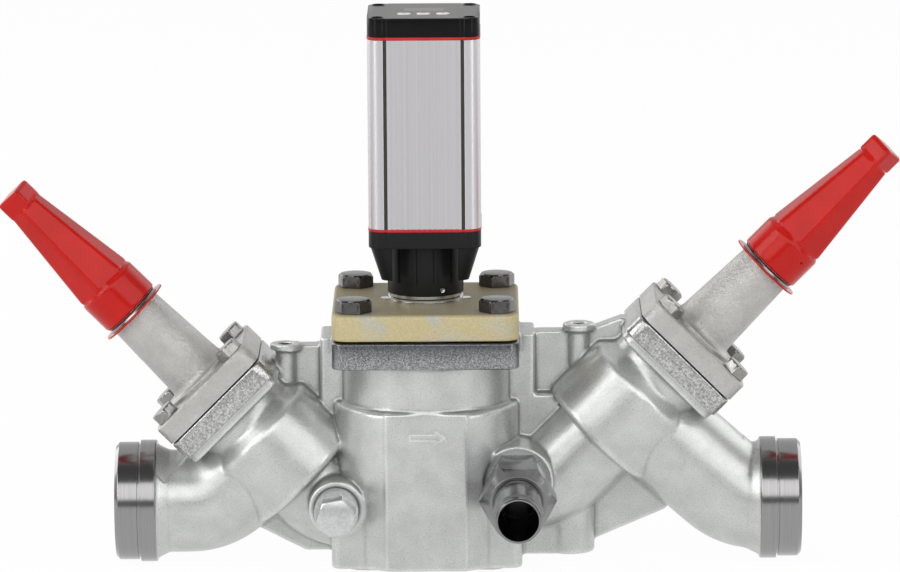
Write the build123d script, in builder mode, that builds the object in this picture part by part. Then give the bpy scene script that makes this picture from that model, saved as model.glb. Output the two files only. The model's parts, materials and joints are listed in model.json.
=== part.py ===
"""Refrigeration valve station, in millimetres.

A cast body joins two weld ends through a stop valve, a motor driven control valve
and a second stop valve. +X runs from the inlet to the outlet, +Z is up and -Y is
the front. The origin is on the control valve's axis, on the face the body rests on.
"""
import os
from math import cos, radians, sin, tan

from build123d import *

os.makedirs("parts", exist_ok=True)

# Line and weld ends
port_axis_height = 47.0
inlet_end_x = -234.5
outlet_end_x = 281.5
weld_end_diameter = 88.9
weld_end_length = 17.0
weld_end_bevel = 2.5
weld_wall = 5.5
groove_width = 1.6
groove_depth = 1.8
back_ring_diameter = 92.0
back_ring_length = 12.5
neck_down_length = 9.0
pipe_radius = 39.0
pipe_bore_radius = 31.0
pipe_bend_radius = 44.0
pipe_rise_angle = 41.0
ring_chamfer = 1.5
neck_down_step = 2.5

# Stop valves, measured along the spindle from the joint face of the body
stop_valve_lean = 45.0
inlet_valve_foot_x = -74.0
inlet_valve_reach = 118.0
outlet_valve_foot_x = 79.0
outlet_valve_reach = 162.2
pipe_meets_valve = 60.0
flange_side = 93.0
flange_corner = 10.0
body_flange_thickness = 16.0
gasket_thickness = 1.0
gasket_land = 7.4
bonnet_thickness = 15.5
waist_radius = 40.0
waist_length = 16.0
housing_radius = 49.7
housing_length = 93.0
chamber_radius = 34.0
seat_depth = 88.0
seat_bore_radius = 26.0
valve_passage_radius = 20.0
bonnet_bolt_spacing = 67.5
bonnet_bolt_diameter = 12.0
bonnet_bolt_head = 18.0
bonnet_bolt_head_height = 8.0
bonnet_spigot_length = 14.0
bonnet_pad_radius = 33.0
bonnet_pad_height = 3.0
bonnet_neck_length = 70.2
neck_base_radius = 24.0
neck_top_radius = 21.2
cap_thread_radius = 18.0
cap_thread_length = 18.0
spindle_radius = 9.0
spindle_collar_radius = 12.0
spindle_collar_height = 4.0
spindle_square = 12.0
spindle_square_length = 12.0
spindle_top_height = 110.0
packing_radius = 13.0
packing_height = 14.0
gland_hex = 28.0
gland_head_height = 5.0
stop_cone_radius = 31.0
stop_cone_height = 14.0
stop_cone_hub_radius = 16.0
stop_cone_hub_height = 10.0
seal_ring_height = 3.0
seal_ring_width = 3.5
seat_land_depth = 10.0
bonnet_chamfer = 1.2
bonnet_spigot_wall = 8.0
gland_thread_length = 12.0

# Seal caps
cap_disc_radius = 28.5
cap_disc_thickness = 1.2
cap_gasket_thickness = 3.4
cap_length = 125.0
cap_skirt_radius = 24.5
cap_skirt_length = 25.5
cap_taper_base = 43.0
cap_taper_tip = 25.0
cap_square = 22.0
cap_square_length = 15.0
cap_wall = 4.5
cap_rib_fillet = 5.0
cap_tip_fillet = 3.0
cap_square_turn = 15.0
cap_square_chamfer = 1.2
cap_cavity_head_room = 28.0
cap_vent_radius = 1.2
cap_vent_drop = 7.0
inlet_cap_turn = 30.0
outlet_cap_turn = 0.0

# Control valve body, heights from the port axis
control_flange_side = 139.5
control_flange_corner = 10.0
control_joint_height = 132.5
control_flange_thickness = 20.0
control_gasket_thickness = 1.5
control_cover_thickness = 20.0
control_cover_corner = 12.0
control_cover_chamfer = 1.5
control_bolt_spacing = 107.0
control_bolt_diameter = 16.0
control_bolt_head = 24.0
control_bolt_head_height = 10.0
control_upper_radius = 63.0
control_lower_radius = 70.0
control_shoulder_height = 78.0
control_shoulder_drop = 1.0
control_bolt_end_gap = 2.0
column_fillet = 2.0
front_pad_width = 61.0
front_pad_reach = 64.0
block_width = 143.0
block_front = 53.0
block_back = 50.0
block_corner = 7.0
block_top = 6.0
block_bottom = -42.5
foot_length = 120.0
foot_width = 76.0
foot_corner = 12.0

# Passages inside the body, heights from the port axis
passage_radius = 36.0
passage_bend_radius = 40.0
passage_overlap = 5.0
outlet_passage_height = 13.0
lower_chamber_radius = 30.0
lower_chamber_floor = -32.0
partition_bottom = 8.0
partition_top = 16.0
control_seat_bore_radius = 26.0
control_bore_radius = 45.0
inlet_slot_width = 44.0
inlet_slot_height = 38.0
inlet_slot_corner = 16.0
outlet_bore_radius = 20.0
outlet_bore_height = 22.0
outlet_bore_start_x = 38.0

# Control valve pieces
insert_radius = 44.9
cage_radius = 38.0
cage_wall = 6.0
cage_height = 66.0
insert_floor_thickness = 8.0
insert_orifice_radius = 24.0
insert_guide_radius = 30.0
insert_window_count = 4
insert_window_width = 34.0
insert_window_height = 20.0
insert_seal_height = 3.0
insert_seal_depth = 2.5
control_lift = 20.0
control_spigot_length = 8.0
control_disc_radius = 29.0
control_disc_height = 6.0
control_waist_radius = 20.0
control_piston_bottom = 50.0
control_piston_top = 80.0
throttle_clearance = 0.4
throttle_taper = 6.0
control_seal_depth = 2.0
control_seal_margin = 0.6
cage_flare = 8.0
rotor_shaft_radius = 6.0
rotor_shaft_engagement = 20.0
rotor_magnet_radius = 14.5
rotor_magnet_rise = 8.5
rotor_magnet_height = 22.0
tube_radius = 17.0
tube_wall = 1.0
tube_end_gap = 2.5
tube_flange_radius = 23.0
tube_flange_thickness = 5.0
lock_ring_radius = 29.0
lock_ring_height = 3.5
lock_ring_lug_width = 9.0
lock_ring_lug_reach = 5.0

# Actuator, stacked on the control valve's cover
actuator_side = 84.0
actuator_corner = 8.0
actuator_neck_radius = 28.5
actuator_neck_height = 16.0
actuator_rib_count = 12
actuator_rib_depth = 1.6
actuator_rib_width = 5.0
actuator_rib_foot = 10.0
actuator_rib_start = 15.0
relief_width = 42.0
wedge_height = 25.5
wedge_foot_side = 65.5
base_band_height = 12.5
frame_gasket_thickness = 2.3
profile_height = 142.0
profile_wall = 3.0
profile_corner_radius = 11.0
profile_panel_width = 55.0
profile_groove_width = 2.6
profile_groove_depth = 2.2
reed_count = 13
reed_pitch = 4.0
reed_depth = 0.7
top_cover_height = 14.0
top_cover_plate = 4.0
screw_post_radius = 6.0
cover_screw_spacing = 68.5
cover_screw_radius = 2.0
cover_screw_head_radius = 3.4
cover_screw_head_height = 4.0
cover_screw_recess_radius = 4.2
cover_screw_recess_depth = 7.0
cover_screw_length = 24.0
window_length = 30.0
window_width = 16.0
window_thickness = 1.6
window_ledge = 1.5
window_y = 6.0
button_length = 10.0
button_width = 6.0
button_spacing = 14.5
button_y = -18.0
button_clearance = 0.3
button_rise = 1.0
button_travel = 0.8
switch_clearance = 0.05
button_flange = 1.2
button_flange_thickness = 1.5
magnet_cavity_radius = 26.5
drive_magnet_radius = 25.0
drive_magnet_bore_radius = 18.5
motor_side = 57.0
motor_height = 48.0
motor_shaft_radius = 3.0
motor_shaft_reach = 20.0
motor_corner = 5.0
magnet_cup_clearance = 0.4
board_side = 62.0
board_corner = 4.0
board_ledge_side = 60.0
board_clearance = 0.5
board_thickness = 1.6
set_screw_radius = 2.5
set_screw_length = 9.0
set_screw_height = 7.0
set_screw_turns = (28, 148, 268)
cable_inlet_spacing = 30.0
cable_inlet_height = 22.0
cable_inlet_radius = 6.5
cable_inlet_reach = 10.0
cable_inlet_flange = 2.5
cable_inlet_rim = 1.5
cable_socket_radius = 4.5
tube_clearance = 0.5

# Side ports on the front of the body
plug_x = -67.4
plug_height = 4.0
plug_boss_radius = 21.0
plug_spotface_radius = 18.0
plug_reach = 54.0
plug_thread_radius = 8.0
plug_thread_length = 16.0
plug_collar_radius = 16.5
plug_collar_height = 12.0
plug_hex = 26.0
plug_hex_height = 20.0
plug_hex_turn = 12.0
plug_gasket_thickness = 2.0
nipple_x = 68.0
nipple_height = 23.0
nipple_boss_radius = 27.0
nipple_spotface_radius = 25.5
nipple_reach = 50.0
spotface_depth = 1.0
adaptor_thread_radius = 17.5
adaptor_thread_length = 14.0
adaptor_bore_radius = 14.5
adaptor_hex = 41.0
adaptor_hex_height = 42.0
adaptor_nose_radius = 20.0
adaptor_nose_height = 16.0
union_nut_hex = 50.0
union_nut_height = 34.0
union_nut_cone = 12.0
union_nut_lip = 2.5
union_nut_chamfer = 1.5
nipple_tube_radius = 18.35
nipple_end_radius = 16.85
nipple_end_length = 8.0
nipple_tube_reach = 50.0
nipple_bore_radius = 15.0
nipple_collar_radius = 20.5
nipple_collar_height = 6.0
side_gasket_thickness = 2.0
side_gasket_step = 1.0
union_nut_gap = 4.0

# Rear web and lifting bosses
web_front = 3.0
web_back = 20.0
web_bottom = -40.0
web_top = 112.0
web_left_foot = -92.0
web_left_tip = (-129.0, -21.0)
web_left_ear = (-116.0, 118.0)
web_left_ear_cut = 10.0
web_right_foot = 108.0
web_right_tip = (181.0, -9.0)
web_right_ear = (150.0, 139.0)
web_right_shelf = (120.0, 128.0)
web_window = (-81.0, 83.0)
column_foot = 20.0
left_column_top = 126.0
right_column_top = 128.0
column_corner = 3.0
column_gap = 0.5
wing_reach = 18.0
wing_top = 81.4
left_boss_x = -106.0
left_boss_top = 120.3
right_boss_x = 115.0
right_boss_top = 134.3
boss_y = 5.0
boss_floor = 6.0
column_depth = 49.0
column_front = -8.0
left_column_width = 9.5
right_column_width = 11.5
boss_rim_radius = 12.2
boss_body_radius = 8.0
boss_rim_height = 6.0
boss_height = 32.0
boss_hole_radius = 5.0
boss_plug_depth = 8.0
boss_plug_socket = 6.0
boss_plug_recess = 1.5
lower_boss_radius = 18.4
lower_boss_x = 108.0
lower_boss_bottom = -40.0
lower_boss_rib_cut = 6.0
arrow_x = 1.5
arrow_height = 60.0
arrow_length = 28.0
arrow_head_length = 9.0
arrow_head_width = 10.0
arrow_shaft_width = 5.5
arrow_line_width = 1.2
arrow_rise = 0.8

# Fits
running_clearance = 0.05
thread_clearance = 0.1
bolt_clearance = 0.6
cap_clearance = 0.5
drill_floor = 6.0


def at_port_axis(height):
    """Height above the resting face of a height measured from the port axis."""
    return port_axis_height + height


def stop_valve_plane(side, foot_x, reach):
    """Plane on a stop valve's joint face, with Z out along its spindle."""
    lean = radians(stop_valve_lean)
    outward = Vector(side * sin(lean), 0, cos(lean))
    across = Vector(cos(lean), 0, -side * sin(lean))
    foot = Vector(foot_x, 0, port_axis_height)
    return Plane(origin=foot + outward * reach, x_dir=across, z_dir=outward)


def front_plane(x, height, reach):
    """Plane that faces the front, at a reach forward of the valve axes."""
    return Plane(origin=(x, -reach, at_port_axis(height)), x_dir=(1, 0, 0), z_dir=(0, -1, 0))


def turned(plane, outline, mode=Mode.ADD):
    """Turn a closed outline of (radius, height) points about a plane's Z axis."""
    side = Plane(origin=plane.origin, x_dir=plane.x_dir, z_dir=-plane.y_dir)
    with BuildSketch(side) as profile:
        with BuildLine():
            Polyline(*outline, close=True)
        make_face()
    revolve(profile.sketch, axis=Axis(plane.origin, plane.z_dir), mode=mode)


def turned_soft(plane, outline, radii, mode=Mode.ADD):
    """Turn an outline whose inner corners are rounded, closed along the axis."""
    side = Plane(origin=plane.origin, x_dir=plane.x_dir, z_dir=-plane.y_dir)
    with BuildSketch(side) as profile:
        with BuildLine():
            FilletPolyline(*outline, radius=radii)
            Line(outline[-1], outline[0])
        make_face()
    revolve(profile.sketch, axis=Axis(plane.origin, plane.z_dir), mode=mode)


def disc(plane, low, high, radius, mode=Mode.ADD):
    """Round bar between two heights on a plane's axis."""
    with BuildSketch(plane.offset(low)) as circle:
        Circle(radius)
    extrude(circle.sketch, amount=high - low, mode=mode)


def hexagon(plane, low, high, across_flats, turn=0.0, mode=Mode.ADD):
    """Hexagonal bar between two heights on a plane's axis."""
    with BuildSketch(plane.offset(low)) as outline:
        RegularPolygon(across_flats / 2, 6, major_radius=False, rotation=turn)
    extrude(outline.sketch, amount=high - low, mode=mode)


def plate(plane, low, high, length, width, corner, mode=Mode.ADD):
    """Flat plate with rounded corners between two heights on a plane's axis."""
    with BuildSketch(plane.offset(low)) as outline:
        RectangleRounded(length, width, corner)
    extrude(outline.sketch, amount=high - low, mode=mode)


def hole_pattern(plane, low, high, spacing, radius):
    """Four round holes at the corners of a square."""
    with BuildSketch(plane.offset(low)) as holes:
        with GridLocations(spacing, spacing, 2, 2):
            Circle(radius)
    extrude(holes.sketch, amount=high - low, mode=Mode.SUBTRACT)


def hex_bolts(plane, face, spacing, diameter, head, head_height, depth):
    """Four hexagon head bolts whose heads sit on a face height."""
    with BuildSketch(plane.offset(face)) as heads:
        with GridLocations(spacing, spacing, 2, 2):
            RegularPolygon(head / 2, 6, major_radius=False)
    extrude(heads.sketch, amount=head_height)
    with BuildSketch(plane.offset(face - depth)) as shanks:
        with GridLocations(spacing, spacing, 2, 2):
            Circle(diameter / 2)
    extrude(shanks.sketch, amount=depth)


def hex_head(plane, low, high, across_flats, turn=0.0):
    """Hexagonal bar whose front corners are turned off at 30 degrees."""
    flat = across_flats / 2
    corner = flat / cos(radians(30))
    drop = (corner - flat) * tan(radians(30))
    with BuildPart() as head:
        hexagon(plane, low, high, across_flats, turn)
        turned(
            plane,
            [(0, low), (corner, low), (corner, high - drop), (flat, high), (0, high)],
            Mode.INTERSECT,
        )
    add(head.part)


def set_screw_turn(turn):
    """Plane on the actuator's axis that faces out along a set screw."""
    outward = Vector(sin(radians(turn)), -cos(radians(turn)), 0)
    foot = Vector(0, 0, at_port_axis(base_foot + set_screw_height))
    return Plane(origin=foot, x_dir=(0, 0, 1), z_dir=outward)


def swept_round(points, bend, radius, mode=Mode.ADD):
    """Round bar along a bent centre line in the XZ plane."""
    with BuildLine() as route:
        FilletPolyline(*points, radius=bend)
    start = Vector(*points[0])
    heading = Vector(*points[1]) - start
    with BuildSketch(Plane(origin=start, x_dir=(0, 1, 0), z_dir=heading)) as circle:
        Circle(radius)
    sweep(circle.sketch, path=route.line, mode=mode)


inlet_valve = stop_valve_plane(-1, inlet_valve_foot_x, inlet_valve_reach)
outlet_valve = stop_valve_plane(1, outlet_valve_foot_x, outlet_valve_reach)
port_axis = Plane(origin=(0, 0, port_axis_height))
inlet_end = Plane(origin=(inlet_end_x, 0, port_axis_height), x_dir=(0, 1, 0), z_dir=(-1, 0, 0))
outlet_end = Plane(origin=(outlet_end_x, 0, port_axis_height), x_dir=(0, 1, 0), z_dir=(1, 0, 0))
plug_face = front_plane(plug_x, plug_height, plug_reach - spotface_depth)
nipple_face = front_plane(nipple_x, nipple_height, nipple_reach - spotface_depth)

weld_radius = weld_end_diameter / 2
back_ring_start = weld_end_length + groove_width
back_ring_stop = back_ring_start + back_ring_length
neck_stop = back_ring_stop + neck_down_length
flange_underside = -body_flange_thickness
bonnet_face = gasket_thickness + bonnet_thickness
neck_shoulder = bonnet_face + bonnet_neck_length
cap_foot = neck_shoulder + cap_disc_thickness + cap_gasket_thickness
cover_foot = control_joint_height + control_gasket_thickness
cover_face = cover_foot + control_cover_thickness
base_foot = cover_face + lock_ring_height
wedge_foot = base_foot + actuator_neck_height
band_foot = wedge_foot + wedge_height
band_top = band_foot + base_band_height
tube_top = band_top - tube_end_gap
rotor_magnet_bottom = wedge_foot + rotor_magnet_rise
rotor_shaft_bottom = control_piston_top - rotor_shaft_engagement
profile_foot = band_top + frame_gasket_thickness
profile_top = profile_foot + profile_height
top_foot = profile_top + frame_gasket_thickness
top_face = top_foot + top_cover_height
outlet_bore_x = outlet_valve_foot_x + outlet_bore_height
inlet_wall = profile_groove_depth + profile_wall
button_places = [(step * button_spacing, button_y) for step in (-1, 0, 1)]
cable_inlets_at = [
    Plane(
        origin=(place, actuator_side / 2, at_port_axis(profile_foot + cable_inlet_height)),
        x_dir=(-1, 0, 0),
        z_dir=(0, 1, 0),
    )
    for place in (-cable_inlet_spacing / 2, cable_inlet_spacing / 2)
]


def pipe_route(end_x, side, valve_foot_x, reach, run_in):
    """Centre line from a weld end up into its stop valve."""
    along = (reach - pipe_meets_valve) * cos(radians(stop_valve_lean))
    valve_x = valve_foot_x + side * along
    bend_x = valve_x + side * along / tan(radians(pipe_rise_angle))
    run_start = end_x - side * run_in
    return [
        (run_start, 0, port_axis_height),
        (bend_x, 0, port_axis_height),
        (valve_x, 0, port_axis_height + along),
    ]


def along_valve(plane, height):
    """Point on a stop valve's axis."""
    point = plane.origin + plane.z_dir * height
    return (point.X, point.Y, point.Z)


inlet_bend = (inlet_valve_foot_x, 0, port_axis_height)
outlet_bend = (
    outlet_valve_foot_x + outlet_passage_height,
    0,
    at_port_axis(outlet_passage_height),
)

with BuildPart() as valve_body:
    # Control valve: flange, stepped column, base block and foot
    plate(
        port_axis,
        control_joint_height - control_flange_thickness,
        control_joint_height,
        control_flange_side,
        control_flange_side,
        control_flange_corner,
    )
    shoulder_foot = control_shoulder_height - control_shoulder_drop
    turned_soft(
        port_axis,
        [
            (0, control_joint_height - 1),
            (control_upper_radius, control_joint_height - 1),
            (control_upper_radius, control_shoulder_height),
            (control_lower_radius, shoulder_foot),
            (control_lower_radius, block_bottom),
            (0, block_bottom),
        ],
        [1, column_fillet, column_fillet, column_fillet - 1],
    )
    with BuildSketch(port_axis.offset(block_bottom)):
        with Locations((0, (block_back - block_front) / 2)):
            RectangleRounded(block_width, block_front + block_back, block_corner)
    extrude(amount=block_top - block_bottom)
    with BuildSketch(port_axis.offset(block_bottom)):
        with Locations((0, -front_pad_reach / 2)):
            Rectangle(front_pad_width, front_pad_reach)
    extrude(amount=control_shoulder_height - block_bottom)
    # The pad's face is milled flat across the column
    with BuildSketch(port_axis.offset(block_bottom)):
        with Locations((0, -front_pad_reach - control_lower_radius / 2)):
            Rectangle(front_pad_width, control_lower_radius)
    extrude(amount=control_shoulder_height - block_bottom, mode=Mode.SUBTRACT)
    plate(Plane.XY, 0, at_port_axis(block_bottom), foot_length, foot_width, foot_corner)

    # Rear web between the valves, with its columns and bosses
    with BuildSketch(Plane(origin=(0, web_back, port_axis_height), x_dir=(1, 0, 0), z_dir=(0, -1, 0))):
        with BuildLine():
            Polyline(
                web_left_tip,
                (web_left_foot, web_bottom),
                (web_right_foot, web_bottom),
                web_right_tip,
                web_right_ear,
                web_right_shelf,
                (web_window[1], web_right_shelf[1]),
                (web_window[1], web_top),
                (web_window[0], web_top),
                (web_window[0], web_left_ear[1]),
                (web_left_ear[0] + web_left_ear_cut, web_left_ear[1]),
                (web_left_ear[0], web_left_ear[1] - web_left_ear_cut),
                close=True,
            )
        make_face()
    extrude(amount=web_back - web_front)
    column_centre_y = column_front + column_depth / 2
    left_column_x = -(control_flange_side + left_column_width) / 2 - column_gap
    right_column_x = (control_flange_side + right_column_width) / 2 + column_gap
    with BuildSketch(port_axis.offset(column_foot)):
        with Locations((left_column_x, column_centre_y)):
            RectangleRounded(left_column_width, column_depth, column_corner)
    extrude(amount=left_column_top - column_foot)
    with BuildSketch(port_axis.offset(column_foot)):
        with Locations((right_column_x, column_centre_y)):
            RectangleRounded(right_column_width, column_depth, column_corner)
    extrude(amount=right_column_top - column_foot)
    # Under the flange the columns run into the control valve
    with BuildSketch(port_axis.offset(column_foot)):
        for column_x in (left_column_x, right_column_x):
            with Locations((column_x / 2, (column_front + web_back) / 2)):
                Rectangle(abs(column_x), web_back - column_front)
    extrude(amount=control_joint_height - control_flange_thickness + 1 - column_foot)
    with BuildSketch(port_axis.offset(column_foot)):
        wing_length = right_column_width / 2 + wing_reach
        with Locations((right_column_x + wing_length / 2, (column_front + web_back) / 2)):
            Rectangle(wing_length, web_back - column_front)
    extrude(amount=wing_top - column_foot)
    left_boss = Plane(origin=(left_boss_x, boss_y, at_port_axis(left_boss_top)))
    right_boss = Plane(origin=(right_boss_x, boss_y, at_port_axis(right_boss_top)))
    for boss in (left_boss, right_boss):
        disc(boss, -boss_height, 0, boss_body_radius)
        disc(boss, -boss_rim_height, 0, boss_rim_radius)
    with BuildSketch(port_axis.offset(lower_boss_bottom)):
        with Locations((lower_boss_x, 0)):
            Circle(lower_boss_radius)
        with Locations((lower_boss_x / 2, 0)):
            Rectangle(lower_boss_x, 2 * lower_boss_radius - lower_boss_rib_cut)
    extrude(amount=outlet_passage_height - lower_boss_bottom)

    # Stop valve housings
    for valve in (inlet_valve, outlet_valve):
        plate(valve, flange_underside, 0, flange_side, flange_side, flange_corner)
        shoulder_top = flange_underside - waist_length
        turned_soft(
            valve,
            [
                (0, flange_underside + 1),
                (waist_radius + 5, flange_underside + 1),
                (waist_radius, flange_underside - 4),
                (waist_radius, shoulder_top),
                (housing_radius, shoulder_top + waist_radius - housing_radius),
                (housing_radius, -housing_length),
                (0, -housing_length),
            ],
            [0.5, 2, 6, 6, 5],
        )

    # Weld ends and the pipes that rise from them
    for end in (inlet_end, outlet_end):
        turned(
            end,
            [
                (0, 0),
                (weld_radius - weld_end_bevel, 0),
                (weld_radius, -weld_end_bevel),
                (weld_radius, -weld_end_length),
                (weld_radius - groove_depth, -weld_end_length),
                (weld_radius - groove_depth, -back_ring_start),
                (back_ring_diameter / 2, -back_ring_start),
                (back_ring_diameter / 2, -back_ring_stop + ring_chamfer),
                (back_ring_diameter / 2 - neck_down_step, -back_ring_stop),
                (pipe_radius + 1, -neck_stop + 2),
                (pipe_radius - 1, -neck_stop - 2),
                (0, -neck_stop - 2),
            ],
        )
    run_in = back_ring_start - 1
    inlet_route = pipe_route(inlet_end_x, -1, inlet_valve_foot_x, inlet_valve_reach, run_in)
    outlet_route = pipe_route(outlet_end_x, 1, outlet_valve_foot_x, outlet_valve_reach, run_in)
    for route in (inlet_route, outlet_route):
        swept_round(route, pipe_bend_radius, pipe_radius)

    # Bulges of the passages between the valves
    swept_round(
        [
            along_valve(inlet_valve, -pipe_meets_valve),
            inlet_bend,
            (-passage_overlap, 0, port_axis_height),
        ],
        passage_bend_radius,
        passage_radius,
    )
    swept_round(
        [
            along_valve(outlet_valve, -pipe_meets_valve),
            outlet_bend,
            (passage_overlap, 0, at_port_axis(outlet_passage_height)),
        ],
        passage_bend_radius,
        passage_radius,
    )

    # Side port bosses, spotfaced on the front
    disc(front_plane(plug_x, plug_height, 0), 0, plug_reach, plug_boss_radius)
    disc(front_plane(nipple_x, nipple_height, 0), 0, nipple_reach, nipple_boss_radius)
    disc(plug_face, 0, plug_reach, plug_spotface_radius, Mode.SUBTRACT)
    disc(nipple_face, 0, nipple_reach, nipple_spotface_radius, Mode.SUBTRACT)

    # Bores of the stop valves
    for valve in (inlet_valve, outlet_valve):
        disc(valve, -seat_depth, 1, chamber_radius, Mode.SUBTRACT)
        disc(valve, -seat_depth - seat_land_depth, -seat_depth, seat_bore_radius, Mode.SUBTRACT)
        hole_pattern(
            valve,
            flange_underside,
            0,
            bonnet_bolt_spacing,
            bonnet_bolt_diameter / 2 + thread_clearance,
        )
    # Pipe bores, opened out at the weld ends
    for route in (inlet_route, outlet_route):
        swept_round(route, pipe_bend_radius, pipe_bore_radius, Mode.SUBTRACT)
    for end in (inlet_end, outlet_end):
        turned(
            end,
            [
                (0, 1),
                (weld_radius - weld_wall, 1),
                (weld_radius - weld_wall, -weld_end_length),
                (pipe_bore_radius - 1, -back_ring_start),
                (0, -back_ring_start),
            ],
            Mode.SUBTRACT,
        )
    # Inlet side: down the stop valve's axis and into the lower chamber
    inlet_slot_centre = lower_chamber_floor + inlet_slot_height / 2 + 2
    inlet_elbow_x = inlet_valve_foot_x - inlet_slot_centre
    inlet_elbow = Plane(origin=(inlet_elbow_x, 0, at_port_axis(inlet_slot_centre)))
    inlet_run = (Vector(*inlet_elbow.origin) - inlet_valve.origin).length
    disc(inlet_valve, -inlet_run, -seat_depth, valve_passage_radius, Mode.SUBTRACT)
    slot_side = Plane(origin=inlet_elbow.origin, x_dir=(0, 1, 0), z_dir=(1, 0, 0))
    plate(
        slot_side,
        -2,
        -inlet_elbow_x,
        inlet_slot_width,
        inlet_slot_height,
        inlet_slot_corner,
        Mode.SUBTRACT,
    )
    disc(port_axis, lower_chamber_floor, partition_bottom, lower_chamber_radius, Mode.SUBTRACT)
    disc(port_axis, partition_bottom, partition_top, control_seat_bore_radius, Mode.SUBTRACT)
    disc(port_axis, partition_top, control_joint_height + 1, control_bore_radius, Mode.SUBTRACT)
    # Outlet side: out of the upper chamber and up the second stop valve
    swept_round(
        [
            (outlet_bore_start_x, 0, at_port_axis(outlet_bore_height)),
            (outlet_bore_x, 0, at_port_axis(outlet_bore_height)),
            along_valve(outlet_valve, -seat_depth),
        ],
        passage_bend_radius,
        outlet_bore_radius,
        Mode.SUBTRACT,
    )
    hole_pattern(
        port_axis,
        control_joint_height - control_flange_thickness - 1,
        control_joint_height,
        control_bolt_spacing,
        control_bolt_diameter / 2 + thread_clearance,
    )
    # Side ports and boss threads
    disc(plug_face, -plug_reach + drill_floor, 0, plug_thread_radius + thread_clearance, Mode.SUBTRACT)
    disc(nipple_face, -adaptor_thread_length, 0, adaptor_thread_radius + thread_clearance, Mode.SUBTRACT)
    disc(nipple_face, -nipple_reach + 4, 0, adaptor_bore_radius, Mode.SUBTRACT)
    for boss in (left_boss, right_boss):
        disc(boss, boss_floor - boss_height, 0, boss_hole_radius + thread_clearance, Mode.SUBTRACT)

    # Raised flow arrow on the front pad
    arrow_neck = arrow_length / 2 - arrow_head_length
    with BuildSketch(front_plane(arrow_x, arrow_height, front_pad_reach)):
        with BuildLine():
            Polyline(
                (-arrow_length / 2, -arrow_shaft_width / 2),
                (arrow_neck, -arrow_shaft_width / 2),
                (arrow_neck, -arrow_head_width / 2),
                (arrow_length / 2, 0),
                (arrow_neck, arrow_head_width / 2),
                (arrow_neck, arrow_shaft_width / 2),
                (-arrow_length / 2, arrow_shaft_width / 2),
                close=True,
            )
        make_face()
        offset(amount=-arrow_line_width, mode=Mode.SUBTRACT)
    extrude(amount=arrow_rise)

valve_body.part.label = "valve_body"
export_step(valve_body.part, "parts/valve_body.step")

with BuildPart() as boss_plugs:
    for boss in (left_boss, right_boss):
        disc(boss, -boss_plug_depth, -boss_plug_recess, boss_hole_radius)
        socket_floor = -boss_plug_recess - boss_plug_socket / 2
        hexagon(boss, socket_floor, -boss_plug_recess, boss_plug_socket, mode=Mode.SUBTRACT)
boss_plugs.part.label = "boss_plugs"
export_step(boss_plugs.part, "parts/boss_plugs.step")


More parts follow.
